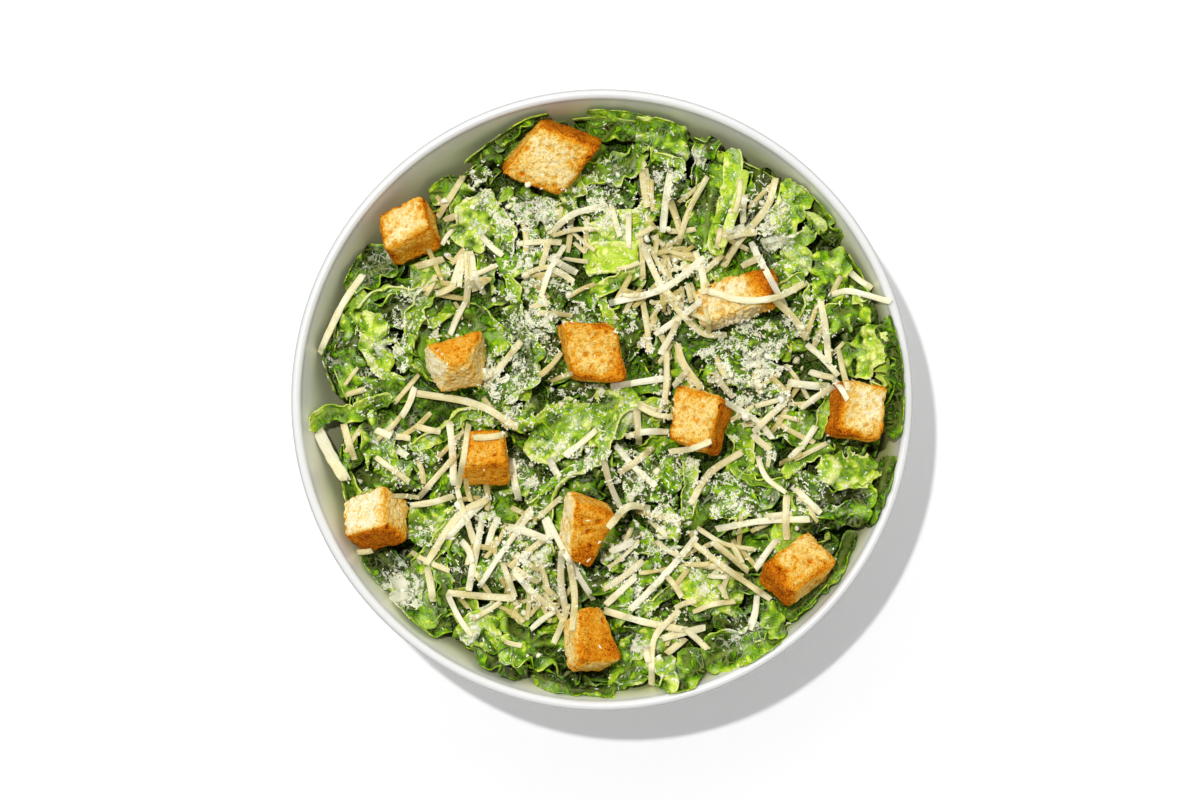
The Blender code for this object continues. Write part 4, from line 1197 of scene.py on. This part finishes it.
def upperLine(walked, heights):
    # the tight line over the tops of the bumps, as a stiff strip would lie
    keep = []
    for point in zip(walked, heights):
        while len(keep) >= 2:
            (x1, y1), (x2, y2) = keep[-2:]
            if (y2 - y1) * (point[0] - x1) <= (point[1] - y1) * (x2 - x1):
                keep.pop()
            else:
                break
        keep.append(point)
    keep = np.array(keep)
    return np.interp(walked, keep[:, 0], keep[:, 1])


def layShred(row, seed, width, thick, warm):
    dice = np.random.default_rng(seed)
    if len(row) % 2:
        width = row[-1]
    flat = np.array(row[:len(row) // 2 * 2], float).reshape(-1, 2)
    if len(flat) == 2:
        step = flat[1] - flat[0]
        bow = np.array([-step[1], step[0]]) * dice.normal(0, 0.035)
        flat = np.array([flat[0], flat.mean(0) + bow, flat[1]])
    length = np.hypot(*np.diff(flat, axis=0).T).sum()
    count = max(5, int(length / shred["step"]))
    path, length = smoothPath(flat, count)
    walked = np.linspace(0, length, count)
    heading = np.gradient(path, axis=0)
    heading /= np.linalg.norm(heading, axis=1, keepdims=True)
    side = np.stack([-heading[:, 1], heading[:, 0]], 1)
    heights = np.max([topAt(*(path + side * offset * width).T) for offset in (-0.35, 0, 0.35)], axis=0)
    line = upperLine(walked, heights)
    z = line * (1 - shred["sag"]) + (heights * shred["sag"])
    for _ in range(2):
        z[1:-1] = (z[:-2] + 2 * z[1:-1] + z[2:]) / 4
    z = np.maximum(z, heights - 0.3) + shred["clearance"] + thick / 2
    wide = width * (1 + dice.normal(0, 0.09) + 0.11 * softNoise(walked / 2.5, seed * 1.3, seed=71)) / 2
    twist = math.radians(dice.normal(0, 9)) + 0.15 * softNoise(walked / 9, seed * 0.7, seed=72)
    corner = np.array([(-1, -0.7), (-0.88, -1), (0.88, -1), (1, -0.7), (1, 0.7), (0.88, 1), (-0.88, 1), (-1, 0.7)])
    rings = []
    for number in range(count):
        taper = 0.9 if number in (0, count - 1) else 1.0
        across = corner[:, 0] * wide[number] * taper
        up = corner[:, 1] * thick / 2 * taper
        ca, sa = math.cos(twist[number]), math.sin(twist[number])
        ring = np.empty((8, 3))
        ring[:, :2] = path[number] + side[number] * (across * ca - up * sa)[:, None]
        ring[:, 2] = z[number] + across * sa + up * ca
        rings.append(ring)
    points = np.array(rings)
    slant = dice.uniform(-0.4, 0.4, 2)
    points[0, :, :2] += heading[0] * (corner[:, :1] * slant[0] * width / 2)
    points[-1, :, :2] += heading[-1] * (corner[:, :1] * slant[1] * width / 2)
    flatPoints = points.reshape(-1, 3)
    faces = gridFaces(count, 8, closed=True)
    caps = []
    for start in (0, (count - 1) * 8):
        quads = [[0, 1, 6, 7], [1, 2, 5, 6], [2, 3, 4, 5]]
        caps += [[start + corner for corner in (quad if start == 0 else quad[::-1])] for quad in quads]
    for offset in np.linspace(-0.45, 0.45, 5):
        spot = path + side * (offset * width)
        laid.raiseTo(spot[:, 0], spot[:, 1], z + thick / 2)
    warmthAndShade = dice.uniform(*warm) + 0.2 * softNoise(flatPoints[:, 0] / 4, flatPoints[:, 1] / 4, seed=73)
    strand = np.stack([np.repeat(walked * 0.35, 8), np.outer(wide, corner[:, 0]).ravel() * 2.4, np.outer(wide, corner[:, 1]).ravel() + seed * 5.3], 1)
    return flatPoints, np.vstack([faces[:, ::-1], caps]), dict(warmthAndShade=warmthAndShade, strand=strand)


blockMiddles = [(np.array(corners[0]) + np.array(corners[1]))[:2] / 2 / mm for corners in (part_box(f"crouton_{number:02d}") for number in croutons)]


# where cheese lies thickest under the long pieces: x, y, reach and count
shredBeds = [(30, 38, 9, 26), (16, 46, 6, 10), (-12, 45, 7, 12), (-46, 38, 5, 8), (-22, -66, 8, 14), (30, -58, 8, 12), (60, -4, 6, 10), (-40, -30, 7, 6)]


def fillerShreds():
    # shorter, thinner pieces lying among the long ones
    dice = np.random.default_rng(33)
    rows = []
    for row in shredRows:
        ends = np.array([row[:2], row[2:4]], float)
        if dice.uniform() > shred["fillers"]:
            continue
        middle = ends.mean(0) + dice.normal(0, 4.5, 2)
        turn = math.atan2(*(ends[1] - ends[0])[::-1]) + dice.normal(0, 0.9)
        step = np.array([math.cos(turn), math.sin(turn)]) * dice.uniform(3, 7.5)
        clear = all(np.hypot(middle[0] - blockX, middle[1] - blockY) > 12 for blockX, blockY in blockMiddles)
        if np.hypot(*middle) < 84 and clear:
            rows.append((*(middle - step), *(middle + step)))
    for bedX, bedY, reach, count in shredBeds:
        for _ in range(count):
            middle = np.array([bedX, bedY]) + dice.normal(0, reach, 2)
            turn = dice.uniform(0, math.pi)
            step = np.array([math.cos(turn), math.sin(turn)]) * dice.uniform(2.5, 6)
            clear = all(np.hypot(middle[0] - blockX, middle[1] - blockY) > 11.5 for blockX, blockY in blockMiddles)
            if np.hypot(*middle) < 84 and clear:
                rows.append((*(middle - step), *(middle + step)))
    return rows


# the filler strips lie lower and are darker and more olive: painted shade with green bounce light
shreds = [layShred(row, 500 + number, shred["thinWidth"], shred["thick"] * 0.8, (0.6, 1.0)) for number, row in enumerate(fillerShreds())]
shreds += [layShred(row, number, shred["width"], shred["thick"], (0.26, 0.72)) for number, row in enumerate(shredRows)]
makePiece("cheese_shreds", *joinParts(shreds), hardCheese, "hard_cheese")
print("shreds laid", len(shreds))


# grated cheese

grated = dict(count=17000, length=(0.6, 1.7), width=(0.34, 0.66), loose=0.003, heap=0.35, deepest=7, shadeAndGreenTint=(0.3, 3.6), clear=0.7)


def strewGrains():
    dice = np.random.default_rng(12)
    x, y = dice.uniform(-94, 94, (2, 900000))
    clump = easeIn(softNoise(x / 2.2, y / 2.2, seed=41) + 0.7 * softNoise(x / 1.0, y / 1.0, seed=42), -0.15, 0.85)
    chance = (0.8 * snowAt(x, y) ** 1.1 + grated["loose"]) * (0.08 + 1.2 * clump)
    onBread = ceiling[pile.index(x, y)] < 900
    chance = np.where(np.hypot(x, y) < reachAt(x, y) - 2, chance, 0) * np.where(onBread, 0.006, 1)
    keep = np.nonzero(dice.uniform(0, 1.3, len(x)) < chance)[0][:int(grated["count"] * 1.15)]
    x, y, clump = x[keep], y[keep], clump[keep]
    ground = topAt(x, y)
    shallow = np.nonzero(ground > heapHeight(x, y) - grated["deepest"])[0][:grated["count"]]
    x, y, clump, ground = x[shallow], y[shallow], clump[shallow], ground[shallow]
    count = len(x)
    z = ground + dice.uniform(0.0, 1.0, count) * grated["heap"] * snowAt(x, y) * clump + 0.08
    turn, tilt = dice.uniform(0, 2 * math.pi, count), dice.normal(0, 0.22, count)
    length, width = dice.uniform(*grated["length"], count), dice.uniform(*grated["width"], count)
    heading = np.stack([np.cos(turn) * np.cos(tilt), np.sin(turn) * np.cos(tilt), np.sin(tilt)], 1)
    side = np.stack([-np.sin(turn), np.cos(turn), 0 * turn], 1)
    up = np.cross(heading, side)
    middle = np.stack([x, y, z], 1)
    corners = []
    for place, taper in ((-0.5, 0.7), (0.5, 0.9)):
        for across, rise in ((-0.5, -0.08), (0.5, -0.08), (0.0, 0.13)):
            corners.append(middle + heading * (place * length)[:, None] + side * (across * taper * width)[:, None] + up * (rise * taper * width)[:, None])
    points = np.stack(corners, 1)
    triangles = [[a, (a + 1) % 3, 3 + (a + 1) % 3] for a in range(3)] + [[a, 3 + (a + 1) % 3, 3 + a] for a in range(3)] + [[2, 1, 0], [3, 4, 5]]
    faces = (np.array(triangles)[None] + np.arange(count)[:, None, None] * 6).reshape(-1, 3)
    warmthAndShade = np.repeat(dice.uniform(-0.1, 0.35, count), 6)
    # greened where the grain lies below the leaves around it: painted shade with green bounce light; some grains at
    # random, more often lone ones, are greened too
    shadeAndGreenTint = np.maximum(easeIn(cover[skyline.index(x, y)] - z, *grated["shadeAndGreenTint"]), grated["clear"] * dice.uniform(0, 1, count) ** 2 * (1 - 0.5 * clump))
    shadeAndGreenTint = np.repeat(shadeAndGreenTint, 6)
    print("grains", count)
    return points.reshape(-1, 3), faces, dict(warmthAndShade=warmthAndShade, strand=points.reshape(-1, 3), shadeAndGreenTint=shadeAndGreenTint)


makePiece("grated_cheese", *strewGrains(), hardCheese, "hard_cheese", faceted=True)

crumbs = dict(count=260, size=(0.5, 1.5), squash=0.6)


def strewCrumbs():
    # small broken lumps of cheese lying among the strips
    dice = np.random.default_rng(27)
    ball = bmesh.new()
    bmesh.ops.create_icosphere(ball, subdivisions=2, radius=1)
    shape = np.array([list(vertex.co) for vertex in ball.verts])
    faces = np.array([[vertex.index for vertex in face.verts] for face in ball.faces])
    ball.free()
    x, y = dice.uniform(-88, 88, (2, 40000))
    chance = np.where(np.hypot(x, y) < reachAt(x, y) - 5, snowAt(x, y) + 0.05, 0) * (ceiling[pile.index(x, y)] > 900)
    keep = np.nonzero(dice.uniform(0, 1, len(x)) < chance)[0][:crumbs["count"]]
    x, y = x[keep], y[keep]
    ground = topAt(x, y)
    made = []
    for number in range(len(x)):
        size = dice.uniform(*crumbs["size"]) * dice.uniform(0.6, 1)
        lumpy = shape * (1 + 0.55 * softNoise(*(shape * 1.5 + number * 3.7).T, seed=61))[:, None]
        lumpy = lumpy * size * np.array([1, dice.uniform(0.6, 1), crumbs["squash"]])
        turn = dice.uniform(0, 2 * math.pi)
        ca, sa = math.cos(turn), math.sin(turn)
        lumpy = lumpy @ np.array([[ca, sa, 0], [-sa, ca, 0], [0, 0, 1]])
        points = lumpy + np.array([x[number], y[number], ground[number] + size * crumbs["squash"] * 0.6])
        made.append((points, faces, dict(warmthAndShade=np.full(len(points), dice.uniform(0, 0.5)), strand=points * 1.5)))
    return joinParts(made)


makePiece("cheese_crumbs", *strewCrumbs(), hardCheese, "hard_cheese")
print("grated cheese strewn")


# dressing where it lies thick: x, y, length, width, heading, depth

dressingPools = [(-65, -61, 9, 6, 60, 0.45), (-60, -66, 5, 4, 20, 0.4), (11, -79, 5, 3.5, 80, 0.4), (33, -61, 5, 3, -20, 0.4),
                 (-41, 57, 4, 2.5, 50, 0.35), (58, 51, 5, 2, 5, 0.35), (-70, -10, 3.5, 2, 40, 0.35), (31, 77, 2, 5, 5, 0.35),
                 (-24, 60, 4, 2.5, 10, 0.35)]
dropCount = 150


def dropRows():
    # single drops where the dressing is thick
    dice = np.random.default_rng(44)
    rows = []
    while len(rows) < dropCount:
        x, y, size = *dice.uniform(-90, 90, 2), dice.uniform(0.6, 1.5)
        offBread = ceiling[pile.index(np.array(x), np.array(y))] > 900
        if dice.uniform(0, 0.9) < dressingAt(x, y) + 0.06 and math.hypot(x, y) < reachAt(x, y) - 4 and offBread:
            rows.append((x, y, size, size * dice.uniform(0.6, 1.0), dice.uniform(0, 180), size * 0.22))
    return rows


def makeDressing():
    material, tree, shader = newMaterial("white_dressing")
    here = objectPlace(tree)
    cloud = put(tree, "ShaderNodeTexNoise", {"Vector": here, "Scale": 420.0, "Detail": 3.0}).outputs["Fac"]
    colour = mixPaint(tree, cloud, paint(246, 243, 226), paint(226, 226, 190))
    tree.links.new(colour, shader.inputs["Base Color"])
    tree.links.new(calc(tree, "MULTIPLY_ADD", cloud, 0.2, 0.12), shader.inputs["Roughness"])
    bump = put(tree, "ShaderNodeBump", {"Strength": 0.4, "Distance": 0.0004, "Height": cloud})
    tree.links.new(bump.outputs["Normal"], shader.inputs["Normal"])
    return material


def poolDressing(number, x, y, length, width, heading, depth):
    rings, turned = (10, 40) if length > 3 else (4, 10)
    turn = np.linspace(0, 2 * math.pi, turned, endpoint=False)
    share = np.linspace(0.02, 1, rings)[:, None]
    ragged = 1 + 0.30 * softNoise(np.cos(turn) * 1.6, np.sin(turn) * 1.6, number * 3.1, seed=51) + 0.12 * softNoise(np.cos(turn) * 4, np.sin(turn) * 4, number * 1.7, seed=52)
    a, b = share * ragged * length / 2 * np.cos(turn), share * ragged * width / 2 * np.sin(turn)
    spin = math.radians(heading)
    px, py = x + a * math.cos(spin) - b * math.sin(spin), y + a * math.sin(spin) + b * math.cos(spin)
    ground = topAt(px.ravel(), py.ravel()).reshape(px.shape)
    smoothGround = ground.copy()
    for _ in range(9):
        smoothGround = (np.roll(smoothGround, 1, 1) + 2 * smoothGround + np.roll(smoothGround, -1, 1)) / 4
        smoothGround[1:-1] = (smoothGround[:-2] + 2 * smoothGround[1:-1] + smoothGround[2:]) / 4
    ripple = 0.25 * softNoise(px / 2, py / 2, seed=53)
    pz = smoothGround * 0.85 + ground * 0.15 + depth * (np.sqrt(1 - share**2) + ripple * (1 - share)) - 0.25
    low = np.stack([px, py, pz - 0.5 - depth * 0.3], -1)[::-1]
    points = np.concatenate([np.stack([px, py, pz], -1), low])
    return points.reshape(-1, 3), gridFaces(rings * 2, turned, closed=True), {}


pools = [poolDressing(number, *row) for number, row in enumerate(dressingPools + dropRows())]
makePiece("pooled_dressing", *joinParts(pools), makeDressing(), "dressing")
print("dressing pooled")


# floor, light and camera

studio = dict(floor=paint(250, 250, 250), wall=0.9, sky=0.722, key=1.62, keySpread=1.6, keyHeight=76, keyFrom=129.7, lens=300, frameWidth=385.8)


def makeFloor():
    mesh = bpy.data.meshes.new("floor")
    reach = 6.0
    mesh.from_pydata([(-reach, -reach, 0), (reach, -reach, 0), (reach, reach, 0), (-reach, reach, 0)], [], [(0, 1, 2, 3)])
    material, tree, shader = newMaterial("pale_floor")
    shader.inputs["Base Color"].default_value = studio["floor"]
    shader.inputs["Roughness"].default_value = 0.9
    shader.inputs["Specular IOR Level"].default_value = 0.1
    mesh.materials.append(material)
    floor = bpy.data.objects.new("floor", mesh)
    scene.collection.objects.link(floor)


def makeLight():
    world = bpy.data.worlds.new("studio")
    scene.world = world
    world.use_nodes = True
    tree = world.node_tree
    # a bright band round the room, strongest at the back, dim overhead and near the floor
    heading = put(tree, "ShaderNodeSeparateXYZ", {0: put(tree, "ShaderNodeTexCoord").outputs["Generated"]}).outputs
    band = calc(tree, "MULTIPLY", easeNode(tree, heading["Z"], 0.05, 0.4), easeNode(tree, heading["Z"], 0.97, 0.80))
    back = calc(tree, "ADD", calc(tree, "MULTIPLY", heading["Y"], 0.75), calc(tree, "MULTIPLY", heading["X"], -0.2))
    sky = calc(tree, "MULTIPLY_ADD", calc(tree, "ADD", back, 1.0), band, 0.16)
    tree.nodes["Background"].inputs["Color"].default_value = (1, 1, 1, 1)
    # a plain pale wall is what is seen past the floor's edge
    seen = calc(tree, "MULTIPLY", put(tree, "ShaderNodeLightPath").outputs["Is Camera Ray"], studio["wall"])
    strength = calc(tree, "MAXIMUM", calc(tree, "MULTIPLY", sky, studio["sky"]), seen)
    tree.links.new(strength, tree.nodes["Background"].inputs["Strength"])
    sun = bpy.data.lights.new("key", "SUN")
    sun.energy = studio["key"]
    sun.angle = math.radians(studio["keySpread"])
    key = bpy.data.objects.new("key", sun)
    height, turn = math.radians(studio["keyHeight"]), math.radians(studio["keyFrom"])
    toLight = Vector((math.cos(height) * math.cos(turn), math.cos(height) * math.sin(turn), math.sin(height)))
    key.rotation_euler = toLight.to_track_quat("Z", "Y").to_euler()
    scene.collection.objects.link(key)


def makeCamera():
    lens = bpy.data.cameras.new("camera")
    lens.lens = studio["lens"]
    lens.sensor_width = 36
    lens.clip_end = 50
    camera = bpy.data.objects.new("camera", lens)
    away = studio["frameWidth"] * studio["lens"] / 36
    camera.location = (-0.643 * mm, 0, (bowl["height"] + away) * mm)
    scene.collection.objects.link(camera)
    scene.camera = camera


makeFloor()
makeLight()
makeCamera()
scene.view_settings.view_transform = "Standard"
print("studio set")
